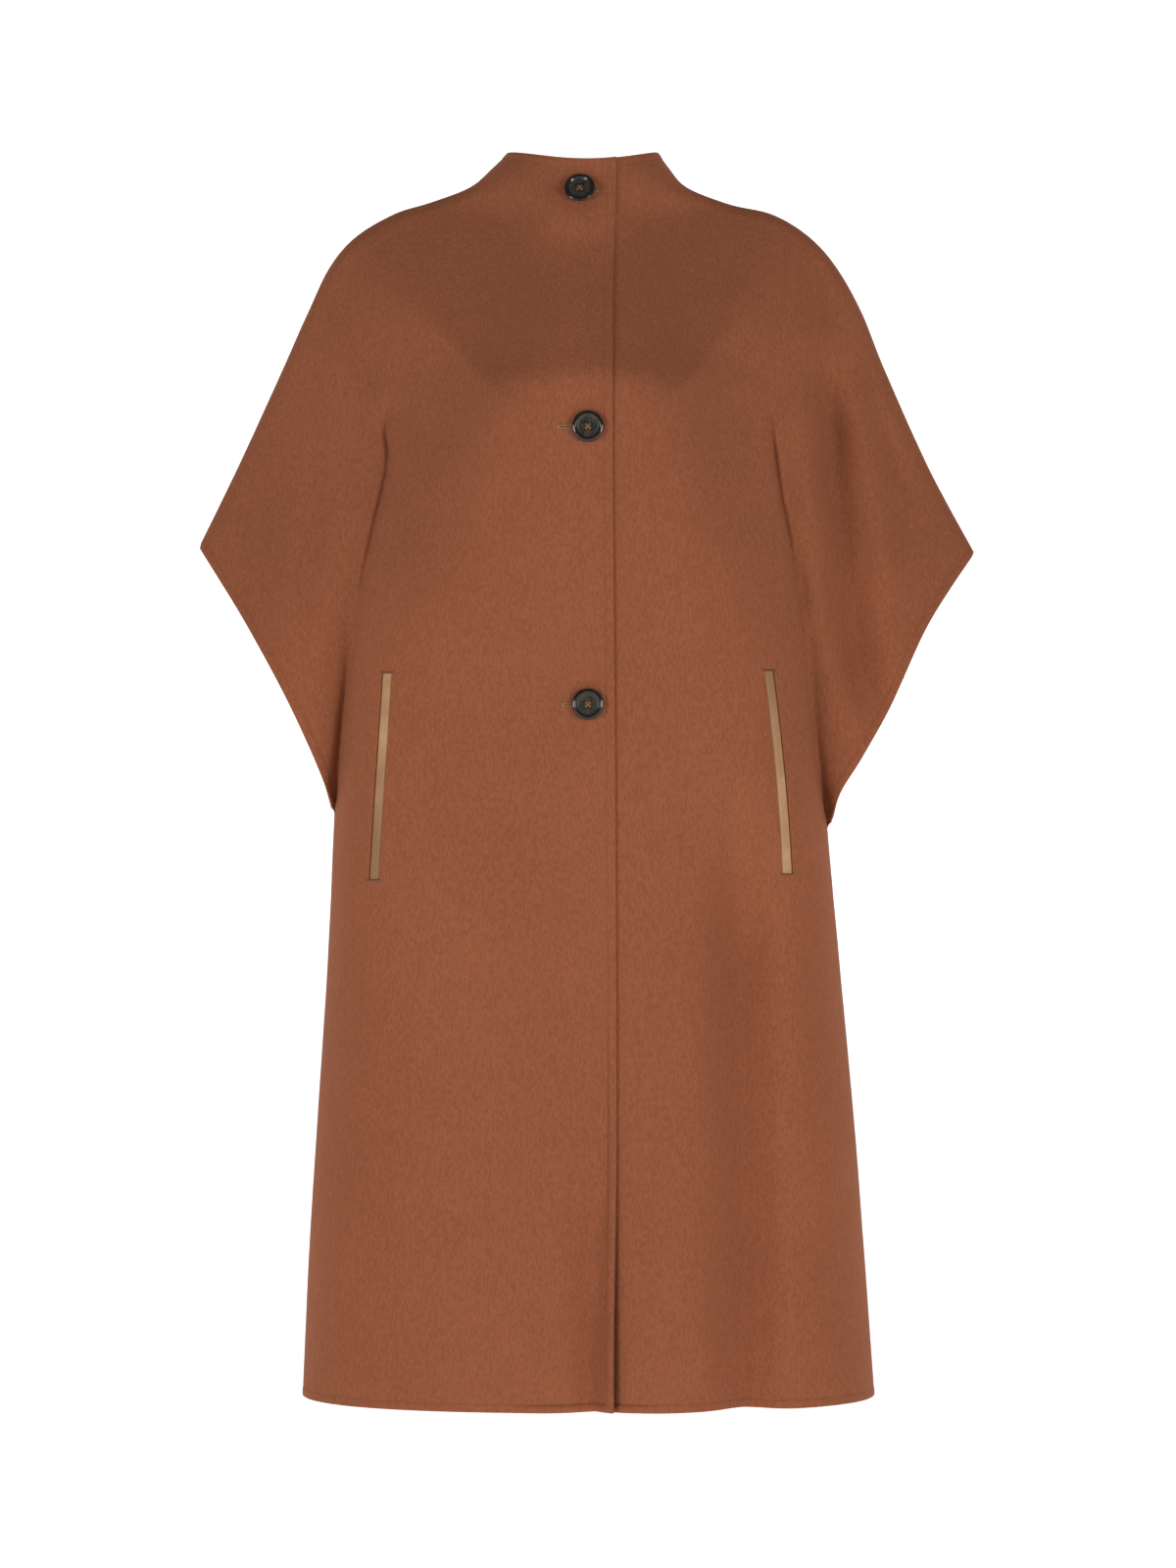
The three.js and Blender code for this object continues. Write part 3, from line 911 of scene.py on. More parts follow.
def finished(bm: bmesh.types.BMesh, name: str, finish: "Finish") -> bpy.types.Object:
    """Turns a bmesh in metres into a smooth piece of the cape.

    Args:
        bm: The mesh, which is freed.
        name: The piece's name.
        finish: Its finish.

    Returns:
        The piece, riding on the frame.
    """
    mesh = bpy.data.meshes.new(name)
    bm.to_mesh(mesh)
    bm.free()
    mesh.shade_smooth()
    mesh.materials.append(finish.material())
    piece = bpy.data.objects.new(name, mesh)
    bpy.context.scene.collection.objects.link(piece)
    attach(piece, "root")
    LOG.info("%s: %d faces", name, len(mesh.polygons))
    return piece


def frames_at(place: Place, lift: float = 0.0) -> list[Matrix]:
    """The transforms to places on the cloth: X across, Y up the cloth and Z outwards, in metres.

    Args:
        place: The places, in one row.
        lift: How far off the cloth, in millimetres.

    Returns:
        A matrix for each.
    """
    frames = []
    for point, out, across in zip(place.point, place.out, place.across):
        out, across = Vector(out).normalized(), Vector(across)
        across = (across - out * across.dot(out)).normalized()
        matrix = Matrix((across, out.cross(across), out)).transposed().to_4x4()
        matrix.translation = (Vector(point) + out * lift) * MM
        frames.append(matrix)
    return frames


def add_stitch(bm: bmesh.types.BMesh, at: Matrix, length: float, radius: float) -> None:
    """Adds one stitch of thread.

    Args:
        bm: The mesh to add to.
        at: The transform to it, with the stitch along X.
        length: Its length in millimetres.
        radius: Its radius in millimetres.
    """
    size = Matrix.Diagonal((length / 2 * MM, radius * MM, radius * MM, 1))
    bmesh.ops.create_uvsphere(bm, u_segments=7, v_segments=5, radius=1, matrix=at @ size)


def add_strand(bm: bmesh.types.BMesh, path: list[Vector], radius: float, sides: int = 8) -> None:
    """Adds a closed round strand down a path, both in metres.

    Args:
        bm: The mesh to add to.
        path: The middle line.
        radius: The strand's radius.
        sides: How many sides it has.
    """
    ring, last = None, None
    for i, p in enumerate(path):
        way = (path[min(i + 1, len(path) - 1)] - path[max(i - 1, 0)]).normalized()
        turn = way.to_track_quat("Z", "Y").to_matrix().to_4x4()
        there = Matrix.Translation(p) @ turn
        if ring is None:
            ring = bmesh.ops.create_circle(
                bm, cap_ends=True, segments=sides, radius=radius, matrix=there)["verts"]
            edges = list({e for v in ring for e in v.link_edges})
        else:
            grown = bmesh.ops.extrude_edge_only(bm, edges=edges)["geom"]
            ring = [v for v in grown if isinstance(v, bmesh.types.BMVert)]
            edges = [e for e in grown if isinstance(e, bmesh.types.BMEdge) and set(e.verts) <= set(ring)]
            bmesh.ops.transform(bm, matrix=there @ last.inverted(), verts=ring)
        last = there
    bmesh.ops.edgeloop_fill(bm, edges=edges)


# ---- Trims ----


@dataclass(frozen=True)
class Piping:
    """The leather welt that fills a pocket's slit, with a thread bar across each end, in millimetres."""

    name: str
    node: str
    pocket: Pocket
    panel: FrontPanel
    section: Pairs = (
        (-8.6, -2.7), (-5.9, -2.7), (-4.95, -2.5), (-4.75, -1.5), (-4.5, -0.75), (-3.9, -0.38),
        (-3.1, -0.28), (-1.5, -0.2), (0.3, -0.12), (2.2, -0.15), (3.6, -0.25), (4.4, -0.5), (4.9, -1.1),
        (5.1, -2.4), (6.0, -2.7), (8.6, -2.7),
    )
    thickness: float = 0.7
    step: float = 2.4
    beyond: float = 3.5
    bar_stitches: int = 17
    bar_height: float = 2.0
    bar_radius: float = 0.42
    bar_beyond: float = 0.3
    bar_lift: float = 0.05
    bar_lean: float = 86.0

    def spine(self, count: int, beyond: float) -> tuple[np.ndarray, np.ndarray]:
        """Points of the slit's middle line, going on past both ends.

        Args:
            count: How many.
            beyond: How far past each end.

        Returns:
            Their x and their heights.
        """
        (ax, az), (bx, bz) = self.pocket.top, self.pocket.bottom
        more = beyond / math.hypot(bx - ax, bz - az)
        z = az + (bz - az) * np.linspace(-more, 1 + more, count)
        return self.pocket.x_at(z), z

    def strip(self, finish: "Finish") -> bpy.types.Object:
        """Makes the leather strip, its flanges tucked behind the cloth.

        Args:
            finish: The leather.

        Returns:
            The piece.
        """
        length = math.dist(self.pocket.top, self.pocket.bottom) + 2 * self.beyond
        rows, columns = round(length / self.step) + 1, len(self.section)
        x, z = self.spine(rows, self.beyond)
        place = self.panel.surface(x, z)
        side = self.panel.side.value
        bm = bmesh.new()
        bmesh.ops.create_grid(bm, x_segments=columns - 1, y_segments=rows - 1, size=1)
        for v in bm.verts:
            i, j = round((v.co.x + 1) / 2 * (columns - 1)), round((v.co.y + 1) / 2 * (rows - 1))
            across, off = self.section[i]
            v.co = (place.point[j] - place.across[j] * across * side + place.out[j] * off) * MM
        bmesh.ops.recalc_face_normals(bm, faces=bm.faces)
        outwards = sum(f.normal.dot(Vector(place.out[rows // 2])) * f.calc_area() for f in bm.faces)
        if outwards < 0:
            bmesh.ops.reverse_faces(bm, faces=bm.faces)
        bmesh.ops.solidify(bm, geom=bm.faces[:], thickness=self.thickness * MM)
        bmesh.ops.recalc_face_normals(bm, faces=bm.faces)
        piece = finished(bm, self.name, finish)
        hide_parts(self.node)
        return piece

    def bars(self, finish: "Finish") -> bpy.types.Object:
        """Makes the bars of thread that close the slit's two ends.

        Args:
            finish: The thread.

        Returns:
            The piece.
        """
        bm = bmesh.new()
        ends = np.array([self.pocket.top, self.pocket.bottom])
        reach = (self.pocket.half_width + self.bar_beyond) * np.linspace(-1, 1, self.bar_stitches)
        place = self.panel.surface((ends[:, :1] + reach).ravel(), np.repeat(ends[:, 1], self.bar_stitches))
        lean = Matrix.Rotation(math.radians(self.bar_lean), 4, "Z")
        for at in frames_at(place, self.bar_lift):
            add_stitch(bm, at @ lean, self.bar_height, self.bar_radius)
        return finished(bm, f"{self.name}_bars", finish)


@dataclass(frozen=True)
class Buttonhole:
    """The worked edge of a buttonhole: small stitches side by side along the slit and a bar at each end."""

    buttoning: Buttoning
    panel: FrontPanel
    pitch: float = 0.56
    reach: tuple[float, float] = (0.1, 1.8)
    radius: float = 0.46
    lift: float = 0.08
    bar_half: float = 2.0
    bar_radius: float = 0.506
    bar_pitch: float = 0.35
    bar_stitches: int = 4
    bar_lift: float = 0.16

    def build(self, finish: "Finish") -> bpy.types.Object:
        """Makes all of the stitches as one piece.

        Args:
            finish: The thread.

        Returns:
            The piece.
        """
        bm = bmesh.new()
        (x0, z0), (low, high) = self.buttoning.at, self.buttoning.hole
        x = x0 + np.linspace(low, high, round((high - low) / self.pitch))
        middle, length = sum(self.reach) / 2, self.reach[1] - self.reach[0]
        quarter = Matrix.Rotation(math.pi / 2, 4, "Z")
        sides = self.panel.surface(np.tile(x, 2), z0 + np.repeat([-middle, middle], len(x)))
        for at in frames_at(sides, self.lift):
            add_stitch(bm, at @ quarter, length, self.radius)
        steps = self.bar_pitch * np.arange(self.bar_stitches)
        ends = x0 + np.concatenate([low - steps, high + steps])
        for at in frames_at(self.panel.surface(ends, np.full(len(ends), z0)), self.bar_lift):
            add_stitch(bm, at @ quarter, 2 * self.bar_half, self.bar_radius)
        return finished(bm, f"buttonhole_{self.buttoning.name}", finish)


@dataclass(frozen=True)
class HornButton:
    """A four-hole button with a raised rim, sewn on through the lap. Sizes in millimetres."""

    buttoning: Buttoning
    panel: FrontPanel
    radius: float = 13.4
    section: Pairs = (
        (0, 0), (9.4, 0), (11.2, 0.3), (12.4, 1.05), (13.1, 2.0), (13.4, 2.9), (13.25, 3.5), (12.9, 3.86),
        (12.3, 4.16), (11.5, 4.48), (11.0, 4.58), (10.5, 4.5), (10.0, 4.22), (9.5, 3.7), (9.0, 3.2),
        (8.5, 3.0), (6.5, 3.0), (4.2, 3.05), (0, 3.05),
    )
    steps: int = 96
    stand: float = 1.6
    hole_offset: float = 2.7
    hole_radius: float = 1.1
    hole_soft: float = 0.22
    drill_length: float = 9.0
    face_height: float = 3.05
    strand: float = 0.3
    cross_points: int = 15
    cross_depth: float = 1.6
    cross_rise: float = 2.15
    cross_over: float = 0.3
    cross_curve: float = 0.45
    cross_spread: float = 1.55
    cross_gathered: float = 0.45
    shank_turns: int = 7
    shank_points: int = 17
    shank_radius: float = 1.9
    shank_strand: float = 0.42
    shank_reach: tuple[float, float] = (-2.6, 0.35)
    shank_pitch: float = 0.03

    def seat(self) -> Matrix:
        """The transform to the button's back."""
        x, z = self.buttoning.at
        return frames_at(self.panel.surface([x], [z]), self.stand)[0]

    def disc(self, finish: "Finish") -> bpy.types.Object:
        """Makes the horn disc.

        Args:
            finish: The horn.

        Returns:
            The piece, which stands for the button's solid.
        """
        bm = bmesh.new()
        last = bm.verts.new((0, 0, 0))
        for r, h in self.section[1:]:
            point = bm.verts.new((r * MM, 0, h * MM))
            bm.edges.new((last, point))
            last = point
        bmesh.ops.spin(
            bm, geom=bm.verts[:] + bm.edges[:], cent=(0, 0, 0), axis=(0, 0, 1), angle=2 * math.pi,
            steps=self.steps, use_merge=True,
        )
        bmesh.ops.remove_doubles(bm, verts=bm.verts, dist=1e-6)
        bmesh.ops.recalc_face_normals(bm, faces=bm.faces)
        layer = bm.loops.layers.uv.new("Disc")
        for f in bm.faces:
            for loop in f.loops:
                loop[layer].uv = loop.vert.co.xy / (self.radius * MM)
        piece = finished(bm, f"horn_{self.buttoning.name}", finish)
        self.drill(piece)
        piece.data.transform(self.seat())
        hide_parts(f"button_{self.buttoning.name}")
        return piece

    def holes(self) -> list[Vector]:
        """The middles of the four holes on the disc, in order round it, in metres."""
        o = self.hole_offset * MM
        return [Vector((x, y, 0)) for x, y in ((o, o), (-o, o), (-o, -o), (o, -o))]

    def drill(self, piece: bpy.types.Object) -> None:
        """Cuts the four holes, with softened edges.

        Args:
            piece: The disc, still lying at the origin.
        """
        bm = bmesh.new()
        for at in self.holes():
            middle = Matrix.Translation(at + Vector((0, 0, self.face_height / 2 * MM)))
            bmesh.ops.create_cone(
                bm, cap_ends=True, segments=24, radius1=self.hole_radius * MM, radius2=self.hole_radius * MM,
                depth=self.drill_length * MM, matrix=middle,
            )
        mesh = bpy.data.meshes.new("drill")
        bm.to_mesh(mesh)
        bm.free()
        drill = bpy.data.objects.new("drill", mesh)
        bpy.context.scene.collection.objects.link(drill)
        cut = piece.modifiers.new("holes", "BOOLEAN")
        cut.object, cut.operation, cut.solver = drill, "DIFFERENCE", "EXACT"
        soft = piece.modifiers.new("edges", "BEVEL")
        soft.width, soft.segments, soft.limit_method = self.hole_soft * MM, 2, "ANGLE"
        soft.angle_limit = math.radians(60)
        done = bpy.data.meshes.new_from_object(piece.evaluated_get(bpy.context.evaluated_depsgraph_get()))
        piece.modifiers.clear()
        old, piece.data = piece.data, done
        done.name = piece.name
        bpy.data.meshes.remove(old)
        bpy.data.objects.remove(drill)
        bpy.data.meshes.remove(mesh)

    def add_cross(self, bm: bmesh.types.BMesh, a: Vector, b: Vector, over: float) -> None:
        """Adds the strands from one hole over the face to the hole across.

        Args:
            bm: The mesh to add to.
            a: The first hole's middle, in metres.
            b: The second hole's middle, in metres.
            over: How much higher they pass than the first strands.
        """
        way = (b - a).normalized()
        across = Vector((-way.y, way.x, 0))
        last = self.cross_points - 1
        for k in (-1, 0, 1):
            path = []
            for i in range(self.cross_points):
                f = i / last
                rise = math.sin(math.pi * f) ** self.cross_curve
                high = self.face_height - self.cross_depth + (self.cross_rise + over) * rise
                gathered = self.cross_gathered + (1 - self.cross_gathered) * rise
                spread = k * self.strand * self.cross_spread * gathered
                path.append(a.lerp(b, f) + across * spread * MM + Vector((0, 0, high * MM)))
            add_strand(bm, path, self.strand * MM)

    def add_shank(self, bm: bmesh.types.BMesh) -> None:
        """Adds the thread wound round the shank.

        Args:
            bm: The mesh to add to.
        """
        low, high = -self.stand + self.shank_reach[0], self.shank_reach[1]
        for i in range(self.shank_turns):
            h = low + (high - low) * i / (self.shank_turns - 1)
            path = []
            for k in range(self.shank_points):
                angle = 2 * math.pi * k / (self.shank_points - 1)
                x, y = self.shank_radius * math.cos(angle), self.shank_radius * math.sin(angle)
                path.append(Vector((x, y, h + self.shank_pitch * k)) * MM)
            add_strand(bm, path, self.shank_strand * MM, 6)

    def sewing(self, finish: "Finish") -> bpy.types.Object:
        """Makes the crossed thread on the face and the wound shank under the button.

        Args:
            finish: The thread.

        Returns:
            The piece.
        """
        bm = bmesh.new()
        holes = self.holes()
        self.add_cross(bm, holes[0], holes[2], 0.0)
        self.add_cross(bm, holes[1], holes[3], self.cross_over)
        self.add_shank(bm)
        bmesh.ops.transform(bm, matrix=self.seat(), verts=bm.verts)
        bmesh.ops.recalc_face_normals(bm, faces=bm.faces)
        return finished(bm, f"sewing_{self.buttoning.name}", finish)


# ---- Finishes ----


class Graph:
    """Adds linked nodes to a node tree."""

    def __init__(self, tree: bpy.types.NodeTree) -> None:
        """Keeps the tree."""
        self.tree = tree

    def node(self, kind: str, options: dict | None = None, **inputs: object) -> bpy.types.Node:
        """Adds a node.

        Args:
            kind: The node's type, without ShaderNode in front.
            options: Its own properties.
            **inputs: Values or sockets for its inputs by name, with _ for a space, or by place as i0, i1.

        Returns:
            The node.
        """
        made = self.tree.nodes.new(f"ShaderNode{kind}")
        for key, value in (options or {}).items():
            setattr(made, key, value)
        for key, value in inputs.items():
            index = int(key[1:]) if key[0] == "i" and key[1:].isdigit() else key.replace("_", " ")
            if isinstance(value, bpy.types.NodeSocket):
                self.tree.links.new(value, made.inputs[index])
            else:
                made.inputs[index].default_value = value
        return made

    def math(self, operation: str, *values: object) -> bpy.types.NodeSocket:
        """Adds a Math node and gives its result."""
        inputs = {f"i{i}": value for i, value in enumerate(values)}
        return self.node("Math", {"operation": operation}, **inputs).outputs[0]

    def ramp(
        self, value: object, low: float, high: float, to_low: float = 0.0, to_high: float = 1.0,
    ) -> bpy.types.NodeSocket:
        """Adds a smooth Map Range node.

        Args:
            value: What it reads.
            low: The value that gives to_low.
            high: The value that gives to_high.
            to_low: Its result there.
            to_high: Its result there.

        Returns:
            The result.
        """
        options = {"interpolation_type": "SMOOTHSTEP"}
        return self.node("MapRange", options, i0=value, i1=low, i2=high, i3=to_low, i4=to_high).outputs[0]

    def mix(self, factor: object, a: object, b: object, blend: str = "MIX") -> bpy.types.NodeSocket:
        """Adds a colour Mix node.

        Args:
            factor: The share of b.
            a: The first colour.
            b: The second colour.
            blend: How they are blended.

        Returns:
            The result.
        """
        made = self.node("Mix", {"data_type": "RGBA", "blend_type": blend}, i0=factor, i6=a, i7=b)
        return made.outputs[2]

    def darker(self, colour: object, by: Colour) -> bpy.types.NodeSocket:
        """Multiplies a colour by a fixed one."""
        return self.mix(1.0, colour, rgba(by), "MULTIPLY")

    def bump(self, height: bpy.types.NodeSocket, scale: float, strength: float) -> bpy.types.NodeSocket:
        """Adds a Bump node.

        Args:
            height: The relief, from 0 to 1.
            scale: Its full height, in metres.
            strength: How much of the bump shows.

        Returns:
            The bumped normal.
        """
        return self.bumped(self.math("MULTIPLY", height, scale), strength)

    def bumped(self, height: bpy.types.NodeSocket, strength: float) -> bpy.types.NodeSocket:
        """The normal bumped by a height in metres."""
        return self.node("Bump", None, Strength=strength, Distance=1.0, Height=height).outputs[0]

    def drive(self, shader: bpy.types.Node, **sockets: bpy.types.NodeSocket) -> None:
        """Links results to a shader's inputs, by name with _ for a space."""
        for key, value in sockets.items():
            self.tree.links.new(value, shader.inputs[key.replace("_", " ")])


class Effect(Enum):
    """The shader groups that the finishes share."""

    GRAIN = "cape_grain"
    TONE = "cape_tone"


def new_group(effect: Effect, sockets: list[tuple[str, str, str]]) -> bpy.types.NodeTree:
    """Makes a shader group with its sockets.

    Args:
        effect: Which one.
        sockets: Each socket's name, direction and kind.

    Returns:
        The empty group.
    """
    tree = bpy.data.node_groups.new(effect.value, "ShaderNodeTree")
    for name, direction, kind in sockets:
        tree.interface.new_socket(name=name, in_out=direction, socket_type=f"NodeSocket{kind}")
    return tree


def grain_group() -> bpy.types.NodeTree:
    """The fine relief of a surface: hairs or grain of one size, drawn out down the piece.

    Returns:
        The group, with Vector, Size, Drawn and Rough in, and Height and Fleck out.
    """
    old = bpy.data.node_groups.get(Effect.GRAIN.value)
    if old:
        return old
    tree = new_group(Effect.GRAIN, [
        ("Vector", "INPUT", "Vector"), ("Size", "INPUT", "Float"), ("Drawn", "INPUT", "Float"),
        ("Rough", "INPUT", "Float"), ("Height", "OUTPUT", "Float"), ("Fleck", "OUTPUT", "Float"),
    ])
    g = Graph(tree)
    given, result = tree.nodes.new("NodeGroupInput"), tree.nodes.new("NodeGroupOutput")
    vector, rough = given.outputs["Vector"], given.outputs["Rough"]
    per_size = g.math("DIVIDE", 1.0, given.outputs["Size"])
    per_length = g.math("DIVIDE", per_size, given.outputs["Drawn"])
    drawn = g.node("CombineXYZ", None, X=per_size, Y=per_size, Z=per_length).outputs[0]
    at = g.node("VectorMath", {"operation": "MULTIPLY"}, i0=vector, i1=drawn).outputs[0]
    fine = g.node("TexNoise", None, Vector=at, Scale=1.0, Detail=3.0, Roughness=rough).outputs["Fac"]
    other = g.node("VectorMath", {"operation": "ADD"}, i0=at, i1=(37.0, 11.0, 5.0)).outputs[0]
    fleck = g.node("TexNoise", None, Vector=other, Scale=0.8, Detail=2.0, Roughness=0.6).outputs["Fac"]
    tree.links.new(fine, result.inputs["Height"])
    tree.links.new(g.ramp(fleck, 0.3, 0.7), result.inputs["Fleck"])
    return tree


def tone_group() -> bpy.types.NodeTree:
    """Slow changes of tone over a surface, between two colours.

    Returns:
        The group, with Vector, Size, Dark and Light in, and Color and Mask out.
    """
    old = bpy.data.node_groups.get(Effect.TONE.value)
    if old:
        return old
    tree = new_group(Effect.TONE, [
        ("Vector", "INPUT", "Vector"), ("Size", "INPUT", "Float"), ("Dark", "INPUT", "Color"),
        ("Light", "INPUT", "Color"), ("Color", "OUTPUT", "Color"), ("Mask", "OUTPUT", "Float"),
    ])
    g = Graph(tree)
    given, result = tree.nodes.new("NodeGroupInput"), tree.nodes.new("NodeGroupOutput")
    scale = g.math("DIVIDE", 1.0, given.outputs["Size"])
    slow = g.node("TexNoise", None, Vector=given.outputs["Vector"], Scale=scale, Detail=3.0, Roughness=0.55)
    mask = g.ramp(slow.outputs["Fac"], 0.28, 0.72)
    tree.links.new(g.mix(mask, given.outputs["Dark"], given.outputs["Light"]), result.inputs["Color"])
    tree.links.new(mask, result.inputs["Mask"])
    return tree


def rgba(colour: Colour) -> tuple[float, float, float, float]:
    """A linear colour with its alpha."""
    return (*colour, 1.0)


def times(colour: Colour, by: float) -> Colour:
    """A linear colour, made lighter or darker."""
    return tuple(c * by for c in colour)


@dataclass(frozen=True)
class Finish:
    """A surface finish. Each kind adds its own nodes."""

    name: str
    colour: Colour

    def material(self) -> bpy.types.Material:
        """Makes the material, once.

        Returns:
            The material.
        """
        made = bpy.data.materials.get(self.name)
        if made is None:
            made = bpy.data.materials.new(self.name)
            made.use_nodes = True
            made.diffuse_color = rgba(self.colour)
            graph = Graph(made.node_tree)
            self.dress(graph, made.node_tree.nodes["Principled BSDF"])
        return made

    def dress(self, graph: Graph, shader: bpy.types.Node) -> None:
        """Adds the nodes of this finish."""
        raise NotImplementedError

    def grain(self, graph: Graph, vector: object, size: float, drawn: float, rough: float) -> bpy.types.Node:
        """Places the shared grain.

        Args:
            graph: The graph of the material.
            vector: The coordinates that it reads.
            size: The size of its hairs or grain, in metres.
            drawn: How many times longer they are down the piece.
            rough: How much of its finest part shows.

        Returns:
            The group's node.
        """
        made = graph.tree.nodes.new("ShaderNodeGroup")
        made.node_tree = grain_group()
        graph.tree.links.new(vector, made.inputs["Vector"])
        for key, value in (("Size", size), ("Drawn", drawn), ("Rough", rough)):
            made.inputs[key].default_value = value
        return made

    def tone(
        self, graph: Graph, vector: object, size: float, dark: Colour = (1, 1, 1), light: Colour = (1, 1, 1),
    ) -> bpy.types.Node:
        """Places the shared slow changes of tone.

        Args:
            graph: The graph of the material.
            vector: The coordinates that it reads.
            size: The size of the changes, in metres.
            dark: The darkest colour.
            light: The lightest colour.

        Returns:
            The group's node.
        """
        made = graph.tree.nodes.new("ShaderNodeGroup")
        made.node_tree = tone_group()
        graph.tree.links.new(vector, made.inputs["Vector"])
        made.inputs["Size"].default_value = size
        made.inputs["Dark"].default_value = rgba(dark)
        made.inputs["Light"].default_value = rgba(light)
        return made


@dataclass(frozen=True)
class Wool(Finish):
    """Brushed double-faced wool: a soft dry face of short hairs lying down the cloth. Sizes in metres."""

    hair: float = 0.0015
    hair_height: float = 0.00028
    nap: float = 0.0065
    nap_height: float = 0.0005
    patch: float = 0.12
    spread: float = 0.035
    fleck: Colour = (0.8, 0.78, 0.76)
    shade: Colour = (0.93, 0.93, 0.93)
    shade_most: float = 0.5
    # How far across and how strongly painted shade darkens the groove of each turned edge.
    groove_shade_half: tuple[float, float] = (0.1, 1.1)
    groove_shade_most: float = 0.22
    rough: tuple[float, float] = (0.9, 0.98)
    sheen: Colour = (0.8, 0.36, 0.22)

    def dress(self, graph: Graph, shader: bpy.types.Node) -> None:
        """Tone patches, hair flecks, painted shade in the groove at turned edges, and a bump of hairs and
        nap.

        Args:
            graph: The graph of the material.
            shader: Its Principled shader.
        """
        here = graph.node("TexCoord").outputs["Object"]
        least, most = times(self.colour, 1 - self.spread), times(self.colour, 1 + self.spread)
        patches = self.tone(graph, here, self.patch, least, most).outputs["Color"]
        hairs = self.grain(graph, here, self.hair, drawn=2.4, rough=0.65)
        nap = self.grain(graph, here, self.nap, drawn=2.0, rough=0.5)
        colour = graph.mix(hairs.outputs["Fleck"], graph.darker(patches, self.fleck), patches)
        shaded = graph.ramp(nap.outputs["Height"], 0.25, 0.75, 0.0, self.shade_most)
        soft = graph.mix(shaded, colour, graph.darker(colour, self.shade))
        # Painted shade: along the groove of each turned edge the colour is mixed a little towards half the
        # wool's colour.
        edge = graph.node("Attribute", {"attribute_name": "edge_mm"}).outputs["Fac"]
        off = graph.math("ABSOLUTE", graph.math("SUBTRACT", edge, TurnedEdge.band))
        groove = graph.math("MULTIPLY", graph.ramp(off, *self.groove_shade_half, 1.0, 0.0), self.groove_shade_most)
        groove_shaded = graph.mix(groove, soft, rgba(times(self.colour, 0.5)))
        height = graph.math(
            "ADD", graph.math("MULTIPLY", hairs.outputs["Height"], self.hair_height),
            graph.math("MULTIPLY", nap.outputs["Height"], self.nap_height))
        graph.drive(
            shader, Base_Color=groove_shaded, Normal=graph.bumped(height, 0.55),
            Roughness=graph.ramp(nap.outputs["Fleck"], 0.0, 1.0, *self.rough))
        shader.inputs["Specular IOR Level"].default_value = 0.12
        shader.inputs["Sheen Weight"].default_value = 0.12
        shader.inputs["Sheen Roughness"].default_value = 0.55
        shader.inputs["Sheen Tint"].default_value = rgba(self.sheen)


@dataclass(frozen=True)
class Leather(Finish):
    """Smooth lambskin with a fine grain, with painted shade that darkens it from one height to another and
    pale patches at its lighter end. Sizes in metres.
    """

    light: Colour = (0.52, 0.305, 0.165)
    pore: Colour = (0.9, 0.88, 0.85)
    # Painted shade: the colour runs from deep times darker at deep_z to the full colour at pale_z.
    deep_z: float = -0.41
    pale_z: float = -0.50
    deep: float = 0.72
    blotch: float = 0.03
    grain_size: float = 0.0007
    rough: tuple[float, float] = (0.48, 0.6)

    def dress(self, graph: Graph, shader: bpy.types.Node) -> None:
        """Painted shade between two heights, pale patches at the lighter end, fine grain and an uneven satin.

        Args:
            graph: The graph of the material.
            shader: Its Principled shader.
        """
        here = graph.node("TexCoord").outputs["Object"]
        height = graph.node("SeparateXYZ", None, i0=here).outputs["Z"]
        # Painted shade: darker towards deep_z, with pale patches only towards pale_z.
        painted_light_share = graph.ramp(height, self.deep_z, self.pale_z)
        deep = graph.mix(painted_light_share, rgba(times(self.colour, self.deep)), rgba(self.colour))
        blotches = self.tone(graph, here, self.blotch).outputs["Mask"]
        grain = self.grain(graph, here, self.grain_size, drawn=1.2, rough=0.6)
        lit = graph.mix(graph.math("MULTIPLY", painted_light_share, blotches), deep, rgba(self.light))
        graph.drive(
            shader, Base_Color=graph.mix(grain.outputs["Fleck"], graph.darker(lit, self.pore), lit),
            Normal=graph.bump(grain.outputs["Height"], scale=0.00016, strength=0.4),
            Roughness=graph.ramp(blotches, 0.0, 1.0, *self.rough))
        shader.inputs["Specular IOR Level"].default_value = 0.25


@dataclass(frozen=True)
class Horn(Finish):
    """Polished dark horn: a near-black brown rim, and a slate face with smoky patches. Sizes in metres."""

    face: Colour = (0.012, 0.013, 0.012)
    smoke: Colour = (0.06, 0.048, 0.03)
    rim: tuple[float, float] = (0.66, 0.71)
    rim_tones: tuple[float, float] = (0.7, 1.5)
    face_patch: float = 0.0045
    rim_patch: float = 0.006
    streak: float = 0.0011
    streak_most: float = 0.5
    rough: tuple[float, float] = (0.3, 0.1)

    def dress(self, graph: Graph, shader: bpy.types.Node) -> None:
        """A rim and face by the disc's own map, mottling, and polish that fades on the face.

        Args:
            graph: The graph of the material.
            shader: Its Principled shader.
        """
        disc = graph.node("UVMap", {"uv_map": "Disc"}).outputs[0]
        here = graph.node("TexCoord").outputs["Object"]
        out = graph.node("VectorMath", {"operation": "LENGTH"}, i0=disc).outputs["Value"]
        on_rim = graph.ramp(out, *self.rim)
        mottle = self.tone(graph, here, self.face_patch, self.face, self.smoke).outputs["Color"]
        grain = self.grain(graph, here, self.streak, drawn=0.35, rough=0.6)
        streaks = graph.math("MULTIPLY", grain.outputs["Fleck"], self.streak_most)
        streaked = graph.mix(streaks, mottle, rgba(self.face))
        least, most = (times(self.colour, by) for by in self.rim_tones)
        dark = self.tone(graph, here, self.rim_patch, least, most).outputs["Color"]
        graph.drive(
            shader, Base_Color=graph.mix(on_rim, streaked, dark),
            Normal=graph.bump(grain.outputs["Height"], scale=0.00008, strength=0.25),
            Roughness=graph.ramp(on_rim, 0.0, 1.0, *self.rough))


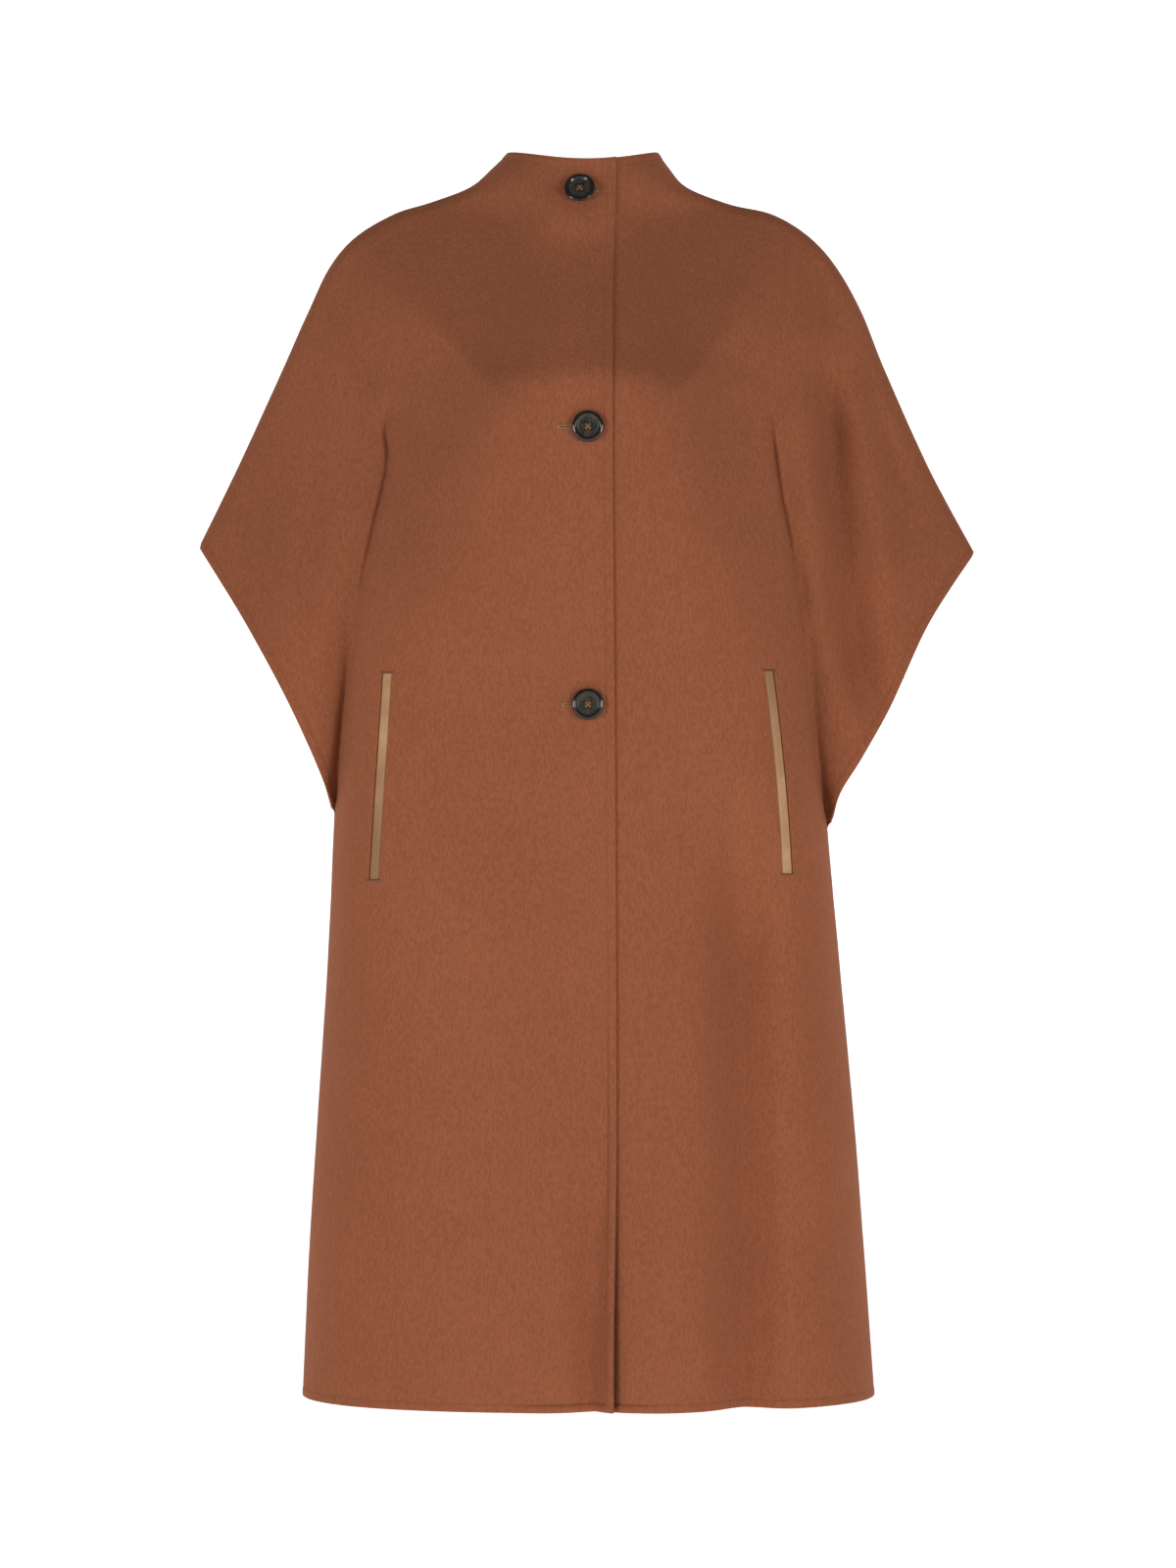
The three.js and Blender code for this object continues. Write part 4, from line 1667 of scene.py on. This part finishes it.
@dataclass(frozen=True)
class Thread(Finish):
    """Twisted sewing thread. Sizes in metres."""

    twist: float = 0.00035
    tones: tuple[float, float] = (0.7, 1.2)
    rough: tuple[float, float] = (0.55, 0.7)

    def dress(self, graph: Graph, shader: bpy.types.Node) -> None:
        """Fine twist in tone and bump.

        Args:
            graph: The graph of the material.
            shader: Its Principled shader.
        """
        here = graph.node("TexCoord").outputs["Object"]
        twist = self.grain(graph, here, self.twist, drawn=1.0, rough=0.6)
        least, most = (rgba(times(self.colour, by)) for by in self.tones)
        graph.drive(
            shader, Base_Color=graph.mix(twist.outputs["Fleck"], least, most),
            Normal=graph.bump(twist.outputs["Height"], scale=0.00012, strength=0.5),
            Roughness=graph.ramp(twist.outputs["Fleck"], 0.0, 1.0, *self.rough))


@dataclass(frozen=True)
class Paper(Finish):
    """The studio's white paper sweep, which shows only from its own side."""

    glow: float = 0.5
    patch: float = 1.5
    least: float = 0.985

    def dress(self, graph: Graph, shader: bpy.types.Node) -> None:
        """A matt white with a little light of its own.

        Args:
            graph: The graph of the material.
            shader: Its Principled shader.
        """
        here = graph.node("TexCoord").outputs["Object"]
        tone = self.tone(graph, here, self.patch, times(self.colour, self.least), self.colour)
        seen = graph.math("SUBTRACT", 1.0, graph.node("NewGeometry").outputs["Backfacing"])
        graph.drive(shader, Base_Color=tone.outputs["Color"], Alpha=seen)
        shader.inputs["Roughness"].default_value = 0.9
        shader.inputs["Emission Color"].default_value = (1, 1, 1, 1)
        shader.inputs["Emission Strength"].default_value = self.glow


# ---- The studio ----


@dataclass(frozen=True)
class Studio:
    """A white sweep, two broad soft lights at the front and a camera. Metres."""

    camera_at: tuple[float, float, float] = (0.001, -4.4, -0.506)
    view_height: float = 1.376
    sensor: float = 36.0
    floor_z: float = -1.56
    front_y: float = -7.0
    wall_y: float = 1.9
    wall_height: float = 4.5
    bend: float = 1.1
    bend_steps: int = 24
    half_width: float = 7.0
    light_at: tuple[float, float, float] = (2.6, -2.75, -0.35)
    light_size: tuple[float, float] = (1.2, 1.2)
    light_power: float = 50.0
    light_aim: tuple[float, float, float] = (0.0, 0.0, -0.5)
    world: float = 0.18
    farthest: float = 60.0

    def sweep(self, finish: Finish) -> None:
        """Makes the floor and the wall behind it in one.

        Args:
            finish: The paper.
        """
        bm = bmesh.new()
        first = bm.verts.new((-self.half_width, self.front_y, self.floor_z))
        bend = bm.verts.new((-self.half_width, self.wall_y - self.bend, self.floor_z))
        bm.edges.new((first, bend))
        bmesh.ops.spin(
            bm, geom=[bend], cent=(-self.half_width, self.wall_y - self.bend, self.floor_z + self.bend),
            axis=(1, 0, 0), angle=math.pi / 2, steps=self.bend_steps,
        )
        top = max(bm.verts, key=lambda v: v.co.z)
        high = bmesh.ops.extrude_vert_indiv(bm, verts=[top])["verts"]
        bmesh.ops.translate(bm, verts=high, vec=(0, 0, self.wall_height))
        grown = bmesh.ops.extrude_edge_only(bm, edges=bm.edges[:])["geom"]
        moved = [v for v in grown if isinstance(v, bmesh.types.BMVert)]
        bmesh.ops.translate(bm, verts=moved, vec=(2 * self.half_width, 0, 0))
        bmesh.ops.recalc_face_normals(bm, faces=bm.faces)
        floor = max(bm.faces, key=lambda f: abs(f.normal.z))
        if floor.normal.z < 0:
            bmesh.ops.reverse_faces(bm, faces=bm.faces[:])
        mesh = bpy.data.meshes.new("sweep")
        bm.to_mesh(mesh)
        bm.free()
        mesh.shade_smooth()
        mesh.materials.append(finish.material())
        sweep = bpy.data.objects.new("sweep", mesh)
        bpy.context.scene.collection.objects.link(sweep)

    def light(self, name: str, at: Vector) -> None:
        """Adds a broad soft light.

        Args:
            name: Its name.
            at: Where it stands.
        """
        data = bpy.data.lights.new(name, "AREA")
        data.shape, data.energy = "RECTANGLE", self.light_power
        data.size, data.size_y = self.light_size
        lamp = bpy.data.objects.new(name, data)
        lamp.location = at
        lamp.rotation_euler = (Vector(self.light_aim) - at).to_track_quat("-Z", "Y").to_euler()
        bpy.context.scene.collection.objects.link(lamp)

    def build(self, finish: Finish) -> None:
        """Sets up the sweep, the lights, the world and the camera.

        Args:
            finish: The paper.
        """
        self.sweep(finish)
        x, y, z = self.light_at
        for name, side in (("light_right", -1), ("light_left", 1)):
            self.light(name, Vector((side * x, y, z)))
        scene = bpy.context.scene
        scene.world = bpy.data.worlds.new("studio")
        scene.world.use_nodes = True
        scene.world.node_tree.nodes["Background"].inputs["Strength"].default_value = self.world
        scene.world.node_tree.nodes["Background"].inputs["Color"].default_value = (1, 1, 1, 1)
        scene.view_settings.view_transform = "Standard"
        lens = bpy.data.cameras.new("camera")
        lens.sensor_fit, lens.sensor_width = "AUTO", self.sensor
        lens.lens = self.sensor * abs(self.camera_at[1]) / self.view_height
        lens.clip_end = self.farthest
        camera = bpy.data.objects.new("camera", lens)
        camera.location = self.camera_at
        camera.rotation_euler = (math.pi / 2, 0, 0)
        scene.collection.objects.link(camera)
        scene.camera = camera


# ---- The cape ----

RIGHT_SIDE = SideForm(
    side=Side.RIGHT,
    overarm=((70, 47), (83, 34), (103, 17), (137, 4), (169, -6), (203, -26), (226, -53), (245, -93),
             (268, -145), (307, -230), (340, -298)),
    opening=((340, -298), (295, -368), (257, -437), (226, -506), (220, -530)),
    body=((203, -150), (207, -300), (220, -530), (227, -661), (240, -867), (249, HEM_Z)),
)
LEFT_SIDE = SideForm(
    side=Side.LEFT,
    overarm=((63, 47), (72, 34), (88, 17), (125, 3), (163, -6), (195, -26), (219, -53), (241, -93),
             (262, -145), (301, -230), (340, -303)),
    opening=((340, -303), (296, -368), (263, -437), (237, -484), (218, -515), (210, -543)),
    body=((184, -150), (192, -300), (210, -543), (221, -660), (238, -850), (252, HEM_Z)),
)
RIGHT_CREASE = (
    (-169, -166), (-174, -200), (-171, -228), (-184, -287), (-195, -340), (-203, -395), (-211, -450),
    (-219, -526),
)
LEFT_CREASE = (
    (158, -166), (160, -204), (166, -254), (171, -279), (175.4, -304), (183, -355), (187.5, -388),
    (195.5, -456), (200.5, -498), (209, -538),
)
FRONT_FOLDS = (
    Fold(((125, -470), (128, -560), (131, -680), (136, -820), (134, HEM_Z)), 30.0, 24, 27, 0.15, 200, 0),
    Fold(((72, -600), (70, -800), (66, HEM_Z)), -5.0, 26, 26, 0.0, 160, 0),
    Fold(((9, -700), (8, HEM_Z)), 18.0, 22, 15, 0.0, 300, 0),
    Fold(RIGHT_CREASE, 7.0, 3.8, 2.8, 0.55, 50, 8),
    Fold(((-165, -160), (-178, -215), (-193, -287)), 3.0, 9, 16, 0.0, 30, 70),
    Fold(LEFT_CREASE, 7.5, 2.8, 3.8, 0.55, 60, 8),
    Fold(((179, -190), (181, -237), (180, -280)), 3.0, 7, 7, 0.0, 40, 30),
    Fold(((175, -290), (183, -325), (190, -370)), 3.0, 4, 9, 0.0, 30, 40),
    Fold(((199, -34), (206, -62), (210, -91), (208, -130)), 3.5, 6, 7, 0.5, 30, 40),
    Fold(((190, -60), (192, -136), (193, -237), (196, -338), (203, -420)), -4.5, 10, 8, 0.0, 60, 70),
    Fold(((200, -110), (204, -142), (211, -187), (215, -237), (221, -288), (225, -338), (232, -388),
          (241, -438), (248, -475)), 23.0, 14, 19, 0.1, 90, 90),
    Fold(((225, -130), (238, -190), (250, -250), (262, -310), (268, -360)), -4.0, 12, 12, 0.0, 70, 50),
    Fold(((252, -160), (266, -220), (284, -264)), 4.0, 9, 10, 0.1, 50, 40),
    Fold(((-206, -33), (-213, -70), (-205, -118), (-190, -150), (-176, -178)), 3.0, 9, 12, 0.2, 30, 40),
    Fold(((-215, -75), (-220, -180), (-228, -250)), -3.0, 13, 13, 0.0, 60, 60),
    Fold(((-236, -190), (-238, -280), (-240, -380)), 4.0, 12, 12, 0.0, 80, 60),
    Fold(((-264, -220), (-258, -300), (-254, -390)), -3.0, 13, 13, 0.0, 60, 50),
    Fold(((-292, -215), (-300, -290)), 3.0, 13, 13),
    Fold(((90, 14), (101, 0), (112, -10)), 2.2, 8, 8, 0.2, 12, 14),
)
BACK_FOLDS = (
    Fold(((-110, -560), (-118, -800), (-122, HEM_Z)), 9.0, 30, 30, fade_out=0),
    Fold(((96, -600), (108, -800), (112, HEM_Z)), 8.0, 28, 28, fade_out=0),
    Fold(((0, -700), (4, HEM_Z)), -4.0, 36, 36, fade_out=0),
    Fold(((-245, -240), (-254, -390)), 7.0, 15, 15),
    Fold(((250, -230), (262, -380)), 7.0, 15, 15),
    Fold(((-165, -190), (-184, -300), (-203, -410), (-220, -528)), 5.0, 15, 7, 0.4, 50, 20),
    Fold(((160, -187), (178, -304), (194, -402), (210, -538)), 5.0, 7, 15, 0.4, 50, 20),
    Fold(((-40, -60), (-150, -170)), 3.0, 26, 26),
    Fold(((40, -60), (150, -165)), 3.0, 26, 26),
)


@dataclass
class Cape:
    """The whole cape-coat."""

    form: CapeForm = field(default_factory=lambda: CapeForm(RIGHT_SIDE, LEFT_SIDE))
    front: FaceForm = FaceForm(
        Face.FRONT,
        ((63, 35), (66, 5), (71, -22), (98, -68), (118, -102), (141, -143), (148, -158), (149.5, -175),
         (149.5, -300), (149, -500), (150, -760), (153, HEM_Z)),
        FRONT_FOLDS,
    )
    back: FaceForm = FaceForm(
        Face.BACK,
        ((60, 50), (64, 20), (72, -10), (98, -70), (116, -140), (123, -210), (124, -320), (126, -500),
         (137, -760), (150, HEM_Z)),
        BACK_FOLDS,
    )
    buttons: tuple[Buttoning, ...] = (
        Buttoning("collar", (-5.9, 6.3), (-12, 14.6)),
        Buttoning("chest", (0.9, -203.1), (-24.8, 2)),
        Buttoning("waist", (0.9, -438.5), (-20.8, 2)),
    )
    right_pocket: Pocket = Pocket((-170.5, -411), (-182, -588))
    left_pocket: Pocket = Pocket((155, -409), (171.4, -583), 2.0)
    wool: Finish = Wool("brushed_wool", (0.300, 0.098, 0.046))
    # The two leathers differ only in the way their painted shade runs: darker low down on the right strip,
    # higher up on the left.
    right_leather: Finish = Leather("tan_leather_right", (0.40, 0.207, 0.094), deep_z=-0.56, pale_z=-0.45)
    left_leather: Finish = Leather("tan_leather_left", (0.40, 0.207, 0.094))
    horn: Finish = Horn("dark_horn", (0.012, 0.007, 0.005))
    hole_thread: Finish = Thread("golden_brown_thread", (0.30, 0.14, 0.045))
    button_thread: Finish = Thread("tan_thread", (0.23, 0.095, 0.035))
    bar_thread: Finish = Thread("dark_brown_thread", (0.17, 0.062, 0.030))

    def build(self) -> None:
        pressed = Handle(dimples=tuple(b.at for b in self.buttons))
        back = BackPanel("cape_back", "back", self.form, self.back, Handle(), (0.75, 1.095), 0.645)
        right = FrontPanel(
            "cape_front_right", "front_right", self.form, self.front, pressed, (0.392, 1.095), 0.355,
            side=Side.RIGHT, pocket=self.right_pocket, buttons=self.buttons, crease=RIGHT_CREASE)
        left = FrontPanel(
            "cape_front_left", "front_left", self.form, self.front, pressed, (0.392, 1.095), 0.355,
            side=Side.LEFT, pocket=self.left_pocket, crease=LEFT_CREASE)
        on_right: list[bpy.types.Object] = []
        for button in self.buttons:
            maker = HornButton(button, right)
            on_right += [maker.disc(self.horn), maker.sewing(self.button_thread)]
            on_right.append(Buttonhole(button, right).build(self.hole_thread))
        piping_right = Piping("piping_right", "pocket_welt_right", self.right_pocket, right)
        piping_left = Piping("piping_left", "pocket_welt_left", self.left_pocket, left)
        on_right += [piping_right.strip(self.right_leather), piping_right.bars(self.bar_thread)]
        on_left = [piping_left.strip(self.left_leather), piping_left.bars(self.bar_thread)]
        for panel, trims in ((back, []), (right, on_right), (left, on_left)):
            cloth = panel.build(self.wool)


def main() -> None:
    """Builds the studio and the cape."""
    logging.basicConfig(level=logging.INFO, format="%(name)s %(message)s")
    Studio().build(Paper("white_paper", (0.9, 0.9, 0.9)))
    Cape().build()


if __name__ == "__main__":
    main()
